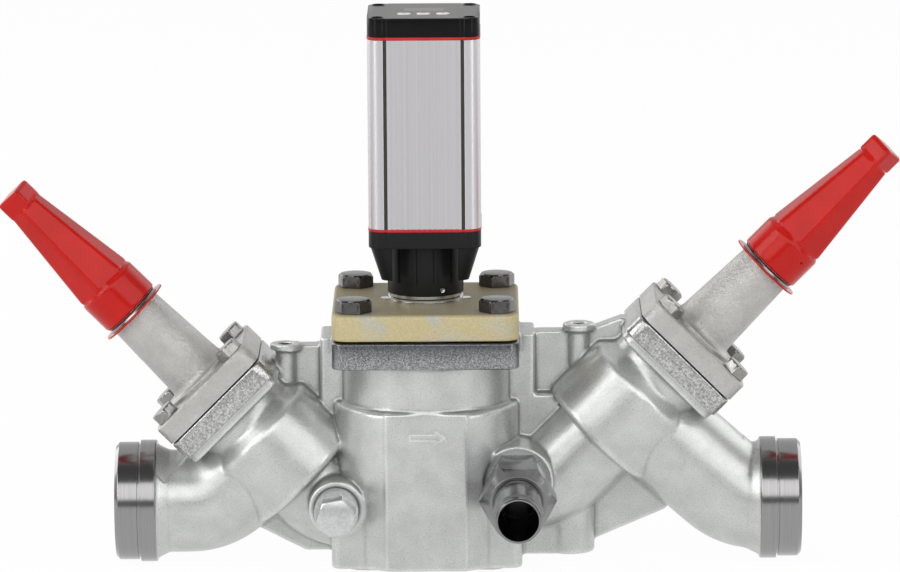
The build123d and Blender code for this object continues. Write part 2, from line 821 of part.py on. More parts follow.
def build_stop_valve(prefix, valve, cap_turn):
    """Write the loose pieces of one stop valve."""
    bore_fit = spindle_radius + running_clearance
    spigot_foot = -bonnet_spigot_length
    neck_top = neck_shoulder + cap_thread_length
    packing_foot = neck_top - gland_thread_length - packing_height

    with BuildPart() as bonnet_gasket:
        disc(valve, 0, gasket_thickness, chamber_radius + gasket_land)
        disc(valve, 0, gasket_thickness, chamber_radius + thread_clearance, Mode.SUBTRACT)
    bonnet_gasket.part.label = prefix + "bonnet_gasket"
    export_step(bonnet_gasket.part, f"parts/{prefix}bonnet_gasket.step")

    with BuildPart() as bonnet:
        plate(valve, gasket_thickness, bonnet_face, flange_side, flange_side, flange_corner)
        chamfer(bonnet.faces().sort_by(Axis(valve.origin, valve.z_dir))[-1].edges(), bonnet_chamfer)
        turned_soft(
            valve,
            [
                (0, bonnet_face - 1),
                (bonnet_pad_radius, bonnet_face - 1),
                (bonnet_pad_radius, bonnet_face + bonnet_pad_height),
                (neck_base_radius, bonnet_face + bonnet_pad_height),
                (neck_top_radius, neck_shoulder),
                (0, neck_shoulder),
            ],
            [0.5, 1, 5, 1],
        )
        disc(valve, neck_shoulder, neck_top, cap_thread_radius)
        disc(valve, spigot_foot, gasket_thickness, chamber_radius - thread_clearance)
        disc(valve, spigot_foot, neck_top, bore_fit, Mode.SUBTRACT)
        disc(valve, packing_foot, neck_top, packing_radius, Mode.SUBTRACT)
        disc(valve, spigot_foot, -4, chamber_radius - bonnet_spigot_wall, Mode.SUBTRACT)
        hole_pattern(
            valve,
            gasket_thickness,
            bonnet_face + bonnet_pad_height,
            bonnet_bolt_spacing,
            bonnet_bolt_diameter / 2 + bolt_clearance,
        )
    bonnet.part.label = prefix + "bonnet"
    export_step(bonnet.part, f"parts/{prefix}bonnet.step")

    with BuildPart() as bonnet_bolts:
        hex_bolts(
            valve,
            bonnet_face,
            bonnet_bolt_spacing,
            bonnet_bolt_diameter,
            bonnet_bolt_head,
            bonnet_bolt_head_height,
            bonnet_face + body_flange_thickness - 1,
        )
    bonnet_bolts.part.label = prefix + "bonnet_bolts"
    export_step(bonnet_bolts.part, f"parts/{prefix}bonnet_bolts.step")

    with BuildPart() as packing:
        disc(valve, packing_foot, packing_foot + packing_height, packing_radius)
        disc(valve, packing_foot, packing_foot + packing_height, bore_fit, Mode.SUBTRACT)
    packing.part.label = prefix + "packing"
    export_step(packing.part, f"parts/{prefix}packing.step")

    with BuildPart() as gland_nut:
        disc(valve, packing_foot + packing_height, neck_top, packing_radius - thread_clearance)
        hexagon(valve, neck_top, neck_top + gland_head_height, gland_hex)
        disc(valve, packing_foot, neck_top + gland_head_height, bore_fit, Mode.SUBTRACT)
    gland_nut.part.label = prefix + "gland_nut"
    export_step(gland_nut.part, f"parts/{prefix}gland_nut.step")

    # The cone closes on the body's seat and swivels on the spindle's collar
    hub_top = -seat_depth + stop_cone_height + stop_cone_hub_height
    collar_foot = -seat_depth + 2 * seal_ring_height
    collar_top = collar_foot + spindle_collar_height
    seal_outer = stop_cone_radius - 0.5
    seal_inner = seal_outer - seal_ring_width
    with BuildPart() as stop_cone:
        turned(
            valve,
            [
                (0, -seat_depth),
                (stop_cone_radius, -seat_depth),
                (stop_cone_radius, hub_top - stop_cone_hub_height - 4),
                (stop_cone_hub_radius, hub_top - stop_cone_hub_height),
                (stop_cone_hub_radius, hub_top),
                (0, hub_top),
            ],
        )
        disc(valve, -seat_depth, -seat_depth + seal_ring_height, seal_outer, Mode.SUBTRACT)
        disc(valve, -seat_depth, -seat_depth + seal_ring_height, seal_inner)
        disc(valve, collar_foot, collar_top, spindle_collar_radius + running_clearance, Mode.SUBTRACT)
        disc(valve, collar_foot, hub_top, bore_fit, Mode.SUBTRACT)
    stop_cone.part.label = prefix + "cone"
    export_step(stop_cone.part, f"parts/{prefix}cone.step")

    with BuildPart() as cone_seal:
        disc(valve, -seat_depth, -seat_depth + seal_ring_height, seal_outer)
        disc(valve, -seat_depth, -seat_depth + seal_ring_height, seal_inner, Mode.SUBTRACT)
    cone_seal.part.label = prefix + "cone_seal"
    export_step(cone_seal.part, f"parts/{prefix}cone_seal.step")

    with BuildPart() as spindle:
        disc(valve, collar_foot, collar_top, spindle_collar_radius)
        disc(valve, collar_foot, spindle_top_height, spindle_radius)
        with BuildSketch(valve.offset(spindle_top_height)):
            RectangleRounded(spindle_square, spindle_square, 1)
        extrude(amount=spindle_square_length)
    spindle.part.label = prefix + "spindle"
    export_step(spindle.part, f"parts/{prefix}spindle.step")

    with BuildPart() as cap_disc:
        disc(valve, neck_shoulder, neck_shoulder + cap_disc_thickness, cap_disc_radius)
        disc(
            valve,
            neck_shoulder,
            neck_shoulder + cap_disc_thickness,
            cap_thread_radius + thread_clearance,
            Mode.SUBTRACT,
        )
    cap_disc.part.label = prefix + "cap_disc"
    export_step(cap_disc.part, f"parts/{prefix}cap_disc.step")

    with BuildPart() as cap_gasket:
        turned(
            valve,
            [
                (cap_thread_radius + thread_clearance, cap_foot - cap_gasket_thickness),
                (cap_skirt_radius - 1, cap_foot - cap_gasket_thickness),
                (cap_skirt_radius - 2.2, cap_foot - cap_gasket_thickness / 2),
                (cap_skirt_radius - 1, cap_foot),
                (cap_thread_radius + thread_clearance, cap_foot),
            ],
        )
    cap_gasket.part.label = prefix + "cap_gasket"
    export_step(cap_gasket.part, f"parts/{prefix}cap_gasket.step")

    # Seal cap: round skirt, six sided taper and a square for a spanner
    skirt_top = cap_foot + cap_skirt_length
    taper_foot = skirt_top + 2.5
    taper_top = cap_foot + cap_length - cap_square_length
    with BuildPart() as seal_cap:
        with BuildSketch(valve.offset(taper_foot)) as taper_base:
            RegularPolygon(cap_taper_base / 2, 6, major_radius=False, rotation=cap_turn)
            fillet(taper_base.vertices(), cap_rib_fillet)
        with BuildSketch(valve.offset(taper_top)) as taper_tip:
            RegularPolygon(cap_taper_tip / 2, 6, major_radius=False, rotation=cap_turn)
            fillet(taper_tip.vertices(), cap_tip_fillet)
        loft()
        turned_soft(
            valve,
            [
                (0, cap_foot),
                (cap_skirt_radius, cap_foot),
                (cap_skirt_radius, skirt_top),
                (cap_taper_base / 2 - 1, taper_foot + 0.5),
                (0, taper_foot + 0.5),
            ],
            [0.5, 1.5, 1],
        )
        with BuildSketch(valve.offset(taper_top)):
            RectangleRounded(cap_square, cap_square, 2, rotation=cap_turn + cap_square_turn)
        extrude(amount=cap_square_length)
        tip_face = seal_cap.faces().sort_by(Axis(valve.origin, valve.z_dir))[-1]
        chamfer(tip_face.edges(), cap_square_chamfer)
        cavity_top = spindle_top_height + spindle_square_length + cap_cavity_head_room
        turned(
            valve,
            [
                (0, cap_foot),
                (cap_thread_radius + cap_clearance, cap_foot),
                (cap_thread_radius + cap_clearance, skirt_top),
                (cap_taper_base / 2 - cap_wall - 3, skirt_top + 2),
                (spindle_radius + 1.5, cavity_top),
                (0, cavity_top),
            ],
            Mode.SUBTRACT,
        )
        # A wire hole through the skirt, on the front
        vent_at = valve.origin + valve.z_dir * (skirt_top - cap_vent_drop)
        vent = Plane(origin=vent_at, x_dir=valve.z_dir, z_dir=-valve.y_dir)
        disc(vent, cap_thread_radius - 2, cap_skirt_radius + 1, cap_vent_radius, Mode.SUBTRACT)
    seal_cap.part.label = prefix + "cap"
    export_step(seal_cap.part, f"parts/{prefix}cap.step")


build_stop_valve("inlet_", inlet_valve, inlet_cap_turn)
build_stop_valve("outlet_", outlet_valve, outlet_cap_turn)

with BuildPart() as control_cover_gasket:
    disc(port_axis, control_joint_height, cover_foot, control_upper_radius)
    disc(port_axis, control_joint_height, cover_foot, control_bore_radius, Mode.SUBTRACT)
control_cover_gasket.part.label = "control_cover_gasket"
export_step(control_cover_gasket.part, "parts/control_cover_gasket.step")

spigot_foot = cover_foot - control_gasket_thickness - control_spigot_length
tube_foot = cover_face - tube_flange_thickness
with BuildPart() as control_cover:
    plate(
        port_axis,
        cover_foot,
        cover_face,
        control_flange_side,
        control_flange_side,
        control_cover_corner,
    )
    chamfer(control_cover.faces().sort_by(Axis.Z)[-1].edges(), control_cover_chamfer)
    disc(port_axis, spigot_foot, cover_foot, insert_radius)
    disc(port_axis, spigot_foot, cover_face, rotor_shaft_radius + running_clearance, Mode.SUBTRACT)
    disc(port_axis, tube_foot, cover_face, tube_flange_radius + thread_clearance, Mode.SUBTRACT)
    hole_pattern(
        port_axis,
        cover_foot,
        cover_face,
        control_bolt_spacing,
        control_bolt_diameter / 2 + bolt_clearance,
    )
control_cover.part.label = "control_cover"
export_step(control_cover.part, "parts/control_cover.step")

with BuildPart() as control_cover_bolts:
    hex_bolts(
        port_axis,
        cover_face,
        control_bolt_spacing,
        control_bolt_diameter,
        control_bolt_head,
        control_bolt_head_height,
        cover_face - control_joint_height + control_flange_thickness - control_bolt_end_gap,
    )
control_cover_bolts.part.label = "control_cover_bolts"
export_step(control_cover_bolts.part, "parts/control_cover_bolts.step")

# The insert stands on the partition, a cage with windows below its guide bore
cage_top = partition_top + cage_height
window_foot = partition_top + insert_floor_thickness
with BuildPart() as control_insert:
    turned(
        port_axis,
        [
            (insert_orifice_radius, partition_bottom + 1),
            (control_seat_bore_radius - thread_clearance, partition_bottom + 1),
            (control_seat_bore_radius - thread_clearance, partition_top),
            (cage_radius, partition_top),
            (cage_radius, cage_top),
            (insert_radius, cage_top + cage_flare),
            (insert_radius, spigot_foot),
            (insert_guide_radius, spigot_foot),
            (insert_guide_radius, control_piston_bottom - 2),
            (cage_radius - cage_wall, control_piston_bottom - 2),
            (cage_radius - cage_wall, window_foot),
            (insert_orifice_radius, window_foot),
        ],
    )
    with BuildSketch(port_axis.offset(window_foot + 2)):
        with PolarLocations(cage_radius, insert_window_count):
            Rectangle(3 * cage_wall, insert_window_width)
    extrude(amount=insert_window_height, mode=Mode.SUBTRACT)
    groove_foot = (cage_top + spigot_foot) / 2
    groove_top = groove_foot + insert_seal_height
    disc(port_axis, groove_foot, groove_top, insert_radius + 1, Mode.SUBTRACT)
    disc(port_axis, groove_foot, groove_top, insert_radius - insert_seal_depth)
    disc(port_axis, groove_foot, groove_top, insert_guide_radius, Mode.SUBTRACT)
control_insert.part.label = "control_insert"
export_step(control_insert.part, "parts/control_insert.step")

with BuildPart() as insert_seal:
    disc(port_axis, groove_foot, groove_top, control_bore_radius)
    disc(port_axis, groove_foot, groove_top, insert_radius - insert_seal_depth, Mode.SUBTRACT)
insert_seal.part.label = "insert_seal"
export_step(insert_seal.part, "parts/insert_seal.step")

disc_top = window_foot + control_disc_height
throttle_radius = insert_orifice_radius - throttle_clearance
control_seal_outer = control_disc_radius - control_seal_margin
control_seal_top = window_foot + control_seal_depth
control_seal_inner = insert_orifice_radius + 1
with BuildPart() as control_cone:
    turned(
        port_axis,
        [
            (0, partition_bottom + 4),
            (throttle_radius - throttle_taper, partition_bottom + 4),
            (throttle_radius, window_foot - 4),
            (throttle_radius, window_foot),
            (control_disc_radius, window_foot),
            (control_disc_radius, disc_top),
            (control_waist_radius, disc_top + 4),
            (control_waist_radius, control_piston_bottom),
            (insert_guide_radius - running_clearance, control_piston_bottom),
            (insert_guide_radius - running_clearance, control_piston_top),
            (0, control_piston_top),
        ],
    )
    disc(port_axis, window_foot, control_seal_top, control_seal_outer, Mode.SUBTRACT)
    disc(port_axis, window_foot, control_seal_top, control_seal_inner)
    disc(
        port_axis,
        rotor_shaft_bottom - control_lift - 2,
        control_piston_top,
        rotor_shaft_radius + running_clearance,
        Mode.SUBTRACT,
    )
control_cone.part.label = "control_cone"
export_step(control_cone.part, "parts/control_cone.step")

with BuildPart() as control_cone_seal:
    disc(port_axis, window_foot, control_seal_top, control_seal_outer)
    disc(port_axis, window_foot, control_seal_top, control_seal_inner, Mode.SUBTRACT)
control_cone_seal.part.label = "control_cone_seal"
export_step(control_cone_seal.part, "parts/control_cone_seal.step")

rotor_magnet_top = rotor_magnet_bottom + rotor_magnet_height
with BuildPart() as control_rotor:
    disc(port_axis, rotor_shaft_bottom, rotor_magnet_top + 2, rotor_shaft_radius)
    disc(port_axis, rotor_magnet_bottom, rotor_magnet_top, rotor_magnet_radius)
    disc(port_axis, cover_face - tube_flange_thickness, cover_face - 2, rotor_shaft_radius + 4)
control_rotor.part.label = "control_rotor"
export_step(control_rotor.part, "parts/control_rotor.step")

with BuildPart() as magnet_tube:
    disc(port_axis, tube_foot, cover_face, tube_flange_radius)
    disc(port_axis, tube_foot, tube_top, tube_radius)
    disc(port_axis, tube_foot, tube_top - tube_wall, tube_radius - tube_wall, Mode.SUBTRACT)
magnet_tube.part.label = "magnet_tube"
export_step(magnet_tube.part, "parts/magnet_tube.step")

with BuildPart() as lock_ring:
    disc(port_axis, cover_face, base_foot, lock_ring_radius)
    with BuildSketch(port_axis.offset(cover_face)):
        Rectangle(2 * (lock_ring_radius + lock_ring_lug_reach), lock_ring_lug_width)
    extrude(amount=lock_ring_height)
    disc(port_axis, cover_face, base_foot, tube_radius + thread_clearance, Mode.SUBTRACT)
lock_ring.part.label = "lock_ring"
export_step(lock_ring.part, "parts/lock_ring.step")

# Actuator base: ribbed neck, four corner wedges and a square band
set_screws_at = [set_screw_turn(turn) for turn in set_screw_turns]
with BuildPart() as actuator_base:
    disc(port_axis, base_foot, wedge_foot + 4, actuator_neck_radius)
    with BuildSketch(port_axis.offset(base_foot + actuator_rib_foot)):
        with PolarLocations(actuator_neck_radius, actuator_rib_count, actuator_rib_start):
            Rectangle(2 * actuator_rib_depth, actuator_rib_width)
    extrude(amount=actuator_neck_height - actuator_rib_foot)
    with BuildSketch(port_axis.offset(wedge_foot)):
        RectangleRounded(wedge_foot_side, wedge_foot_side, actuator_corner)
    with BuildSketch(port_axis.offset(band_foot)):
        RectangleRounded(actuator_side, actuator_side, actuator_corner)
    loft()
    plate(port_axis, band_foot, band_top, actuator_side, actuator_side, actuator_corner)
    # Each side is relieved between the corner wedges
    for quarter in range(4):
        across = Vector(1, 0, 0).rotate(Axis.Z, 90 * quarter)
        facing = Vector(0, -1, 0).rotate(Axis.Z, 90 * quarter)
        low = wedge_foot - 1
        side_face = Plane(origin=(0, 0, at_port_axis(low)), x_dir=across, z_dir=facing)
        with BuildSketch(side_face.offset(actuator_neck_radius)):
            with BuildLine():
                Polyline(
                    (-relief_width / 2, 0),
                    (relief_width / 2, 0),
                    (relief_width / 2, wedge_height / 2),
                    (relief_width / 3, wedge_height + 1),
                    (-relief_width / 3, wedge_height + 1),
                    (-relief_width / 2, wedge_height / 2),
                    close=True,
                )
            make_face()
        extrude(amount=actuator_side / 2, mode=Mode.SUBTRACT)
    disc(port_axis, base_foot, band_top, tube_radius + tube_clearance, Mode.SUBTRACT)
    disc(port_axis, rotor_magnet_bottom - 2, band_top, magnet_cavity_radius, Mode.SUBTRACT)
    for screw_axis in set_screws_at:
        disc(
            screw_axis,
            tube_radius - 1,
            actuator_neck_radius + 1,
            set_screw_radius + thread_clearance,
            Mode.SUBTRACT,
        )
actuator_base.part.label = "actuator_base"
export_step(actuator_base.part, "parts/actuator_base.step")

with BuildPart() as set_screws:
    for screw_axis in set_screws_at:
        disc(screw_axis, tube_radius, tube_radius + set_screw_length, set_screw_radius)
set_screws.part.label = "set_screws"
export_step(set_screws.part, "parts/set_screws.step")

# The aluminium profile: four reeded panels between round corner columns
with BuildPart() as actuator_housing:
    with BuildSketch(port_axis.offset(profile_foot)):
        RectangleRounded(actuator_side, actuator_side, profile_corner_radius)
        with PolarLocations(actuator_side / 2, 4):
            with GridLocations(0, profile_panel_width + profile_groove_width, 1, 2):
                Rectangle(2 * profile_groove_depth, profile_groove_width, mode=Mode.SUBTRACT)
            with GridLocations(0, reed_pitch, 1, reed_count):
                Rectangle(2 * reed_depth, reed_pitch / 2, mode=Mode.SUBTRACT)
    extrude(amount=profile_height)
    with BuildSketch(port_axis.offset(profile_foot)):
        inner_side = actuator_side - 2 * profile_groove_depth - 2 * profile_wall
        RectangleRounded(inner_side, inner_side, profile_corner_radius - profile_wall)
        with GridLocations(cover_screw_spacing, cover_screw_spacing, 2, 2):
            Circle(screw_post_radius, mode=Mode.SUBTRACT)
    extrude(amount=profile_height, mode=Mode.SUBTRACT)
    hole_pattern(
        port_axis,
        profile_foot,
        profile_top,
        cover_screw_spacing,
        cover_screw_radius + thread_clearance,
    )
    for inlet in cable_inlets_at:
        disc(inlet, -inlet_wall - 1, 0, cable_inlet_radius, Mode.SUBTRACT)
actuator_housing.part.label = "actuator_housing"
export_step(actuator_housing.part, "parts/actuator_housing.step")

with BuildPart() as cable_inlets:
    for inlet in cable_inlets_at:
        disc(inlet, -inlet_wall, 0, cable_inlet_radius - thread_clearance)
        disc(inlet, 0, cable_inlet_flange, cable_inlet_radius + cable_inlet_rim)
        disc(inlet, 0, cable_inlet_reach, cable_inlet_radius - 0.5)
        disc(inlet, cable_inlet_flange, cable_inlet_reach, cable_socket_radius, Mode.SUBTRACT)
cable_inlets.part.label = "cable_inlets"
export_step(cable_inlets.part, "parts/cable_inlets.step")


def build_frame_gasket(name, foot):
    """Write a square frame gasket that lies between two actuator housings."""
    with BuildPart() as gasket:
        plate(
            port_axis,
            foot,
            foot + frame_gasket_thickness,
            actuator_side,
            actuator_side,
            profile_corner_radius,
        )
        plate(
            port_axis,
            foot,
            foot + frame_gasket_thickness,
            board_ledge_side,
            board_ledge_side,
            board_corner,
            Mode.SUBTRACT,
        )
        hole_pattern(
            port_axis,
            foot,
            foot + frame_gasket_thickness,
            cover_screw_spacing,
            cover_screw_radius + thread_clearance,
        )
    gasket.part.label = name
    export_step(gasket.part, f"parts/{name}.step")


build_frame_gasket("base_gasket", band_top)
build_frame_gasket("top_gasket", profile_top)

# Top cover: a lid with a window, three buttons and four sunk screws
plate_underside = top_face - top_cover_plate
window_foot_height = top_face - window_thickness
with BuildPart() as top_cover:
    plate(port_axis, top_foot, top_face, actuator_side, actuator_side, actuator_corner)
    chamfer(top_cover.faces().sort_by(Axis.Z)[-1].edges(), 2)
    plate(
        port_axis,
        top_foot,
        plate_underside,
        board_side + board_clearance,
        board_side + board_clearance,
        board_corner,
        Mode.SUBTRACT,
    )
    hole_pattern(
        port_axis,
        top_face - cover_screw_recess_depth,
        top_face,
        cover_screw_spacing,
        cover_screw_recess_radius,
    )
    hole_pattern(
        port_axis,
        top_foot,
        top_face,
        cover_screw_spacing,
        cover_screw_radius + thread_clearance,
    )
    with BuildSketch(port_axis.offset(plate_underside)):
        with Locations((0, window_y)):
            Rectangle(window_length - 2 * window_ledge, window_width - 2 * window_ledge)
        with Locations(*button_places):
            SlotOverall(button_length + 2 * button_clearance, button_width + 2 * button_clearance)
    extrude(amount=top_cover_plate, mode=Mode.SUBTRACT)
    with BuildSketch(port_axis.offset(window_foot_height)):
        with Locations((0, window_y)):
            Rectangle(window_length + thread_clearance, window_width + thread_clearance)
    extrude(amount=window_thickness, mode=Mode.SUBTRACT)
top_cover.part.label = "top_cover"
export_step(top_cover.part, "parts/top_cover.step")

with BuildPart() as cover_screws:
    head_foot = top_face - cover_screw_recess_depth
    with BuildSketch(port_axis.offset(head_foot)):
        with GridLocations(cover_screw_spacing, cover_screw_spacing, 2, 2):
            Circle(cover_screw_head_radius)
    extrude(amount=cover_screw_head_height)
    with BuildSketch(port_axis.offset(head_foot - cover_screw_length)):
        with GridLocations(cover_screw_spacing, cover_screw_spacing, 2, 2):
            Circle(cover_screw_radius)
    extrude(amount=cover_screw_length)
    with BuildSketch(port_axis.offset(head_foot + cover_screw_head_height)):
        with GridLocations(cover_screw_spacing, cover_screw_spacing, 2, 2):
            RegularPolygon(0.8 * cover_screw_radius, 6, major_radius=False)
    extrude(amount=-cover_screw_head_height / 2, mode=Mode.SUBTRACT)
cover_screws.part.label = "cover_screws"
export_step(cover_screws.part, "parts/cover_screws.step")

with BuildPart() as display_window:
    with BuildSketch(port_axis.offset(window_foot_height)):
        with Locations((0, window_y)):
            Rectangle(window_length - thread_clearance, window_width - thread_clearance)
    extrude(amount=window_thickness)
display_window.part.label = "display_window"
export_step(display_window.part, "parts/display_window.step")

board_top = top_foot + board_thickness
with BuildPart() as control_board:
    plate(port_axis, top_foot, board_top, board_side, board_side, board_corner)
control_board.part.label = "control_board"
export_step(control_board.part, "parts/control_board.step")

with BuildPart() as display_module:
    with BuildSketch(port_axis.offset(board_top)):
        with Locations((0, window_y)):
            Rectangle(window_length + 4, window_width + 4)
    extrude(amount=plate_underside - board_top)
display_module.part.label = "display_module"
export_step(display_module.part, "parts/display_module.step")

# Each button hangs by its flange under the lid and stops on its switch
flange_foot = plate_underside - button_flange_thickness
with BuildPart() as button_switches:
    with BuildSketch(port_axis.offset(board_top)):
        with Locations(*button_places):
            Rectangle(button_width, button_width)
    extrude(amount=flange_foot - button_travel - switch_clearance - board_top)
button_switches.part.label = "button_switches"
export_step(button_switches.part, "parts/button_switches.step")

for number, place in enumerate(button_places, start=1):
    with BuildPart() as button:
        with BuildSketch(port_axis.offset(flange_foot)):
            with Locations(place):
                SlotOverall(button_length + 2 * button_flange, button_width + 2 * button_flange)
        extrude(amount=button_flange_thickness)
        with BuildSketch(port_axis.offset(plate_underside)):
            with Locations(place):
                SlotOverall(button_length, button_width)
        extrude(amount=top_cover_plate + button_rise)
    button.part.label = f"button_{number}"
    export_step(button.part, f"parts/button_{number}.step")

# Drive: a stepper motor turns a magnet cup around the sealed tube
with BuildPart() as stepper_motor:
    plate(port_axis, band_top, band_top + motor_height, motor_side, motor_side, motor_corner)
    disc(
        port_axis,
        band_top,
        band_top + motor_shaft_reach + 1,
        motor_shaft_radius + running_clearance,
        Mode.SUBTRACT,
    )
stepper_motor.part.label = "stepper_motor"
export_step(stepper_motor.part, "parts/stepper_motor.step")

with BuildPart() as drive_magnet:
    cup_top = band_top - magnet_cup_clearance
    cup_foot = rotor_magnet_bottom + 2
    disc(port_axis, cup_foot, cup_top, drive_magnet_radius)
    disc(port_axis, cup_foot, tube_top + magnet_cup_clearance, drive_magnet_bore_radius, Mode.SUBTRACT)
    disc(port_axis, cup_top, band_top + motor_shaft_reach, motor_shaft_radius)
drive_magnet.part.label = "drive_magnet"
export_step(drive_magnet.part, "parts/drive_magnet.step")

# Side plug with its sealing ring
with BuildPart() as side_plug_gasket:
    disc(plug_face, 0, plug_gasket_thickness, plug_collar_radius)
    disc(plug_face, 0, plug_gasket_thickness, plug_thread_radius + thread_clearance, Mode.SUBTRACT)
side_plug_gasket.part.label = "side_plug_gasket"
export_step(side_plug_gasket.part, "parts/side_plug_gasket.step")

plug_collar_top = plug_gasket_thickness + plug_collar_height
with BuildPart() as side_plug:
    plug_top = plug_collar_top + plug_hex_height
    hex_head(plug_face, plug_collar_top - 1, plug_top, plug_hex, plug_hex_turn)
    disc(plug_face, plug_gasket_thickness, plug_collar_top, plug_collar_radius)
    disc(plug_face, -plug_thread_length, plug_gasket_thickness, plug_thread_radius)
side_plug.part.label = "side_plug"
export_step(side_plug.part, "parts/side_plug.step")

# Side nipple: an adaptor, a union nut and a weld nipple held by its collar
nose_top = adaptor_hex_height + adaptor_nose_height
with BuildPart() as side_adaptor:
    hexagon(nipple_face, 0, adaptor_hex_height, adaptor_hex)
    disc(nipple_face, adaptor_hex_height, nose_top, adaptor_nose_radius)
    disc(nipple_face, -adaptor_thread_length, 0, adaptor_thread_radius)
    disc(nipple_face, -adaptor_thread_length, nose_top, adaptor_bore_radius, Mode.SUBTRACT)
side_adaptor.part.label = "side_adaptor"
export_step(side_adaptor.part, "parts/side_adaptor.step")

collar_foot = nose_top + side_gasket_thickness
collar_top = collar_foot + nipple_collar_height
with BuildPart() as side_gasket:
    disc(nipple_face, nose_top, collar_foot, adaptor_nose_radius - side_gasket_step)
    disc(nipple_face, nose_top, collar_foot, nipple_bore_radius + side_gasket_step, Mode.SUBTRACT)
side_gasket.part.label = "side_gasket"
export_step(side_gasket.part, "parts/side_gasket.step")

nut_foot = adaptor_hex_height + union_nut_gap
nut_top = nut_foot + union_nut_height
with BuildPart() as side_union_nut:
    hexagon(nipple_face, nut_foot, nut_top, union_nut_hex)
    nut_corner = union_nut_hex / 2 / cos(radians(30))
    turned(
        nipple_face,
        [
            (0, nut_foot),
            (nut_corner - union_nut_chamfer, nut_foot),
            (nut_corner, nut_foot + union_nut_chamfer),
            (nut_corner, nut_top - union_nut_cone),
            (nipple_tube_radius + union_nut_lip, nut_top),
            (0, nut_top),
        ],
        Mode.INTERSECT,
    )
    disc(nipple_face, nut_foot, collar_top, nipple_collar_radius + thread_clearance, Mode.SUBTRACT)
    disc(nipple_face, nut_foot, nut_top, nipple_tube_radius + thread_clearance, Mode.SUBTRACT)
side_union_nut.part.label = "side_union_nut"
export_step(side_union_nut.part, "parts/side_union_nut.step")

tube_end = nut_top + nipple_tube_reach
nipple_end = tube_end + nipple_end_length
with BuildPart() as side_nipple:
    turned(
        nipple_face,
        [
            (nipple_bore_radius, collar_foot),
            (nipple_collar_radius, collar_foot),
            (nipple_collar_radius, collar_top),
            (nipple_tube_radius, collar_top),
            (nipple_tube_radius, tube_end - 2),
            (nipple_end_radius, tube_end),
            (nipple_end_radius, nipple_end - 1),
            (nipple_end_radius - 1, nipple_end),
            (nipple_bore_radius, nipple_end),
        ],
    )
side_nipple.part.label = "side_nipple"
export_step(side_nipple.part, "parts/side_nipple.step")
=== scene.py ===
"""Looks of the refrigeration valve station, in metres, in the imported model's frame.

The CAD nodes, joints and mounts give the places and most sizes, and the named values below the
rest. The casting, flanges, covers, caps, bolts, the actuator's outer pieces and its keys are
finished meshes. The other outer nodes are shown by copies of their own meshes, and the inner
ones only get a material.
"""

import json
from math import cos, pi, radians, sin, tan

import bmesh
import bpy
import numpy as np
from mathutils import Matrix, Vector

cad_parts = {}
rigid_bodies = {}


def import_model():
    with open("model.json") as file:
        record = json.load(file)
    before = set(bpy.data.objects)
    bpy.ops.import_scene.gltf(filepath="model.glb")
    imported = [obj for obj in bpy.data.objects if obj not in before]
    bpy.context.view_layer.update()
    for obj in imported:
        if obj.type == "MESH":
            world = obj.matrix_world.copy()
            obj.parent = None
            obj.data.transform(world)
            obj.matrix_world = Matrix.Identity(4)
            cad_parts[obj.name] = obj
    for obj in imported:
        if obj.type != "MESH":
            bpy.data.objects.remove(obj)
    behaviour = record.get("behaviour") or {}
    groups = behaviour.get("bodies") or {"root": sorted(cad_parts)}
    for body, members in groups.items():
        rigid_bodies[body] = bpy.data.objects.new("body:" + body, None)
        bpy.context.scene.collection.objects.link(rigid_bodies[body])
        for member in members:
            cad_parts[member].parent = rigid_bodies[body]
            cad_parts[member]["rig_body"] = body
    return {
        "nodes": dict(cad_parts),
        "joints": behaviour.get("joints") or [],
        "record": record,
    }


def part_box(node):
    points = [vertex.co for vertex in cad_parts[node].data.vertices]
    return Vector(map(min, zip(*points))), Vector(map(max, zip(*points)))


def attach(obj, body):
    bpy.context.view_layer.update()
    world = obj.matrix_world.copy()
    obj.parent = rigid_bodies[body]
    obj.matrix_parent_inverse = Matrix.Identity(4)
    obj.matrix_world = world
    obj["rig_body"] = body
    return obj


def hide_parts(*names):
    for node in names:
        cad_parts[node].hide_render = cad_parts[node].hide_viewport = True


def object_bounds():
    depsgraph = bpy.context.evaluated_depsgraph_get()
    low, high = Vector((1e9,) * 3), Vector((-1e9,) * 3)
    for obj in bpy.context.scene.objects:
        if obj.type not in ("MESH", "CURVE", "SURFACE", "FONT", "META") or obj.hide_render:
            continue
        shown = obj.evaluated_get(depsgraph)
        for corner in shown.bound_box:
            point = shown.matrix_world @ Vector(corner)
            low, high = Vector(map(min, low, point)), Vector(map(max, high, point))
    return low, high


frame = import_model()
cad_low, cad_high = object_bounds()
nodes = frame["nodes"]
joints = {joint["name"]: joint for joint in frame["joints"]}
mounts = {mount["name"]: mount for mount in frame["record"]["mounts"]}
slots = {entry["node"]: entry["material_slot"] for entry in frame["record"]["subparts"]}

MM = 0.001

# Cutters and joined parts run this far past a face
overlap = 1.0 * MM

# Camera of the photograph
camera_distance = 5.0
camera_target = (18.3 * MM, 0.0, 210.4 * MM)
camera_azimuth = 0.315
camera_elevation = 10.35
camera_roll = -0.393
camera_lens = 266.1
camera_clip = 100.0
sensor_width = 36.0

# Light and floor
fill_strength = 0.42
room_front = 0.16
room_back = 0.95
room_front_at = -0.1
room_back_at = 0.25
floor_half = 30.0
floor_gap = 0.02 * MM
floor_white = 0.92
floor_glow = 0.96

# Casting
casting_low, casting_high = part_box("valve_body")
control_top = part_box("control_cover_gasket")[0].z
port_height = mounts["inlet_port"]["pos_m"][2]
voxel_size = 1.1 * MM
cast_rounding_steps = 6
machined_shrink = 0.6 * MM
# Mask of the casting's dirt and painted shade in hollows, worn metal and painted highlight on edges
wear_and_shade_depth = 0.16 * MM
wear_and_shade_steps = 5
lip_height = 6.0 * MM
lip_step = 1.8 * MM
flange_margin = 0.5 * MM
end_inset = 1.0 * MM
end_wall_half = 0.8 * MM

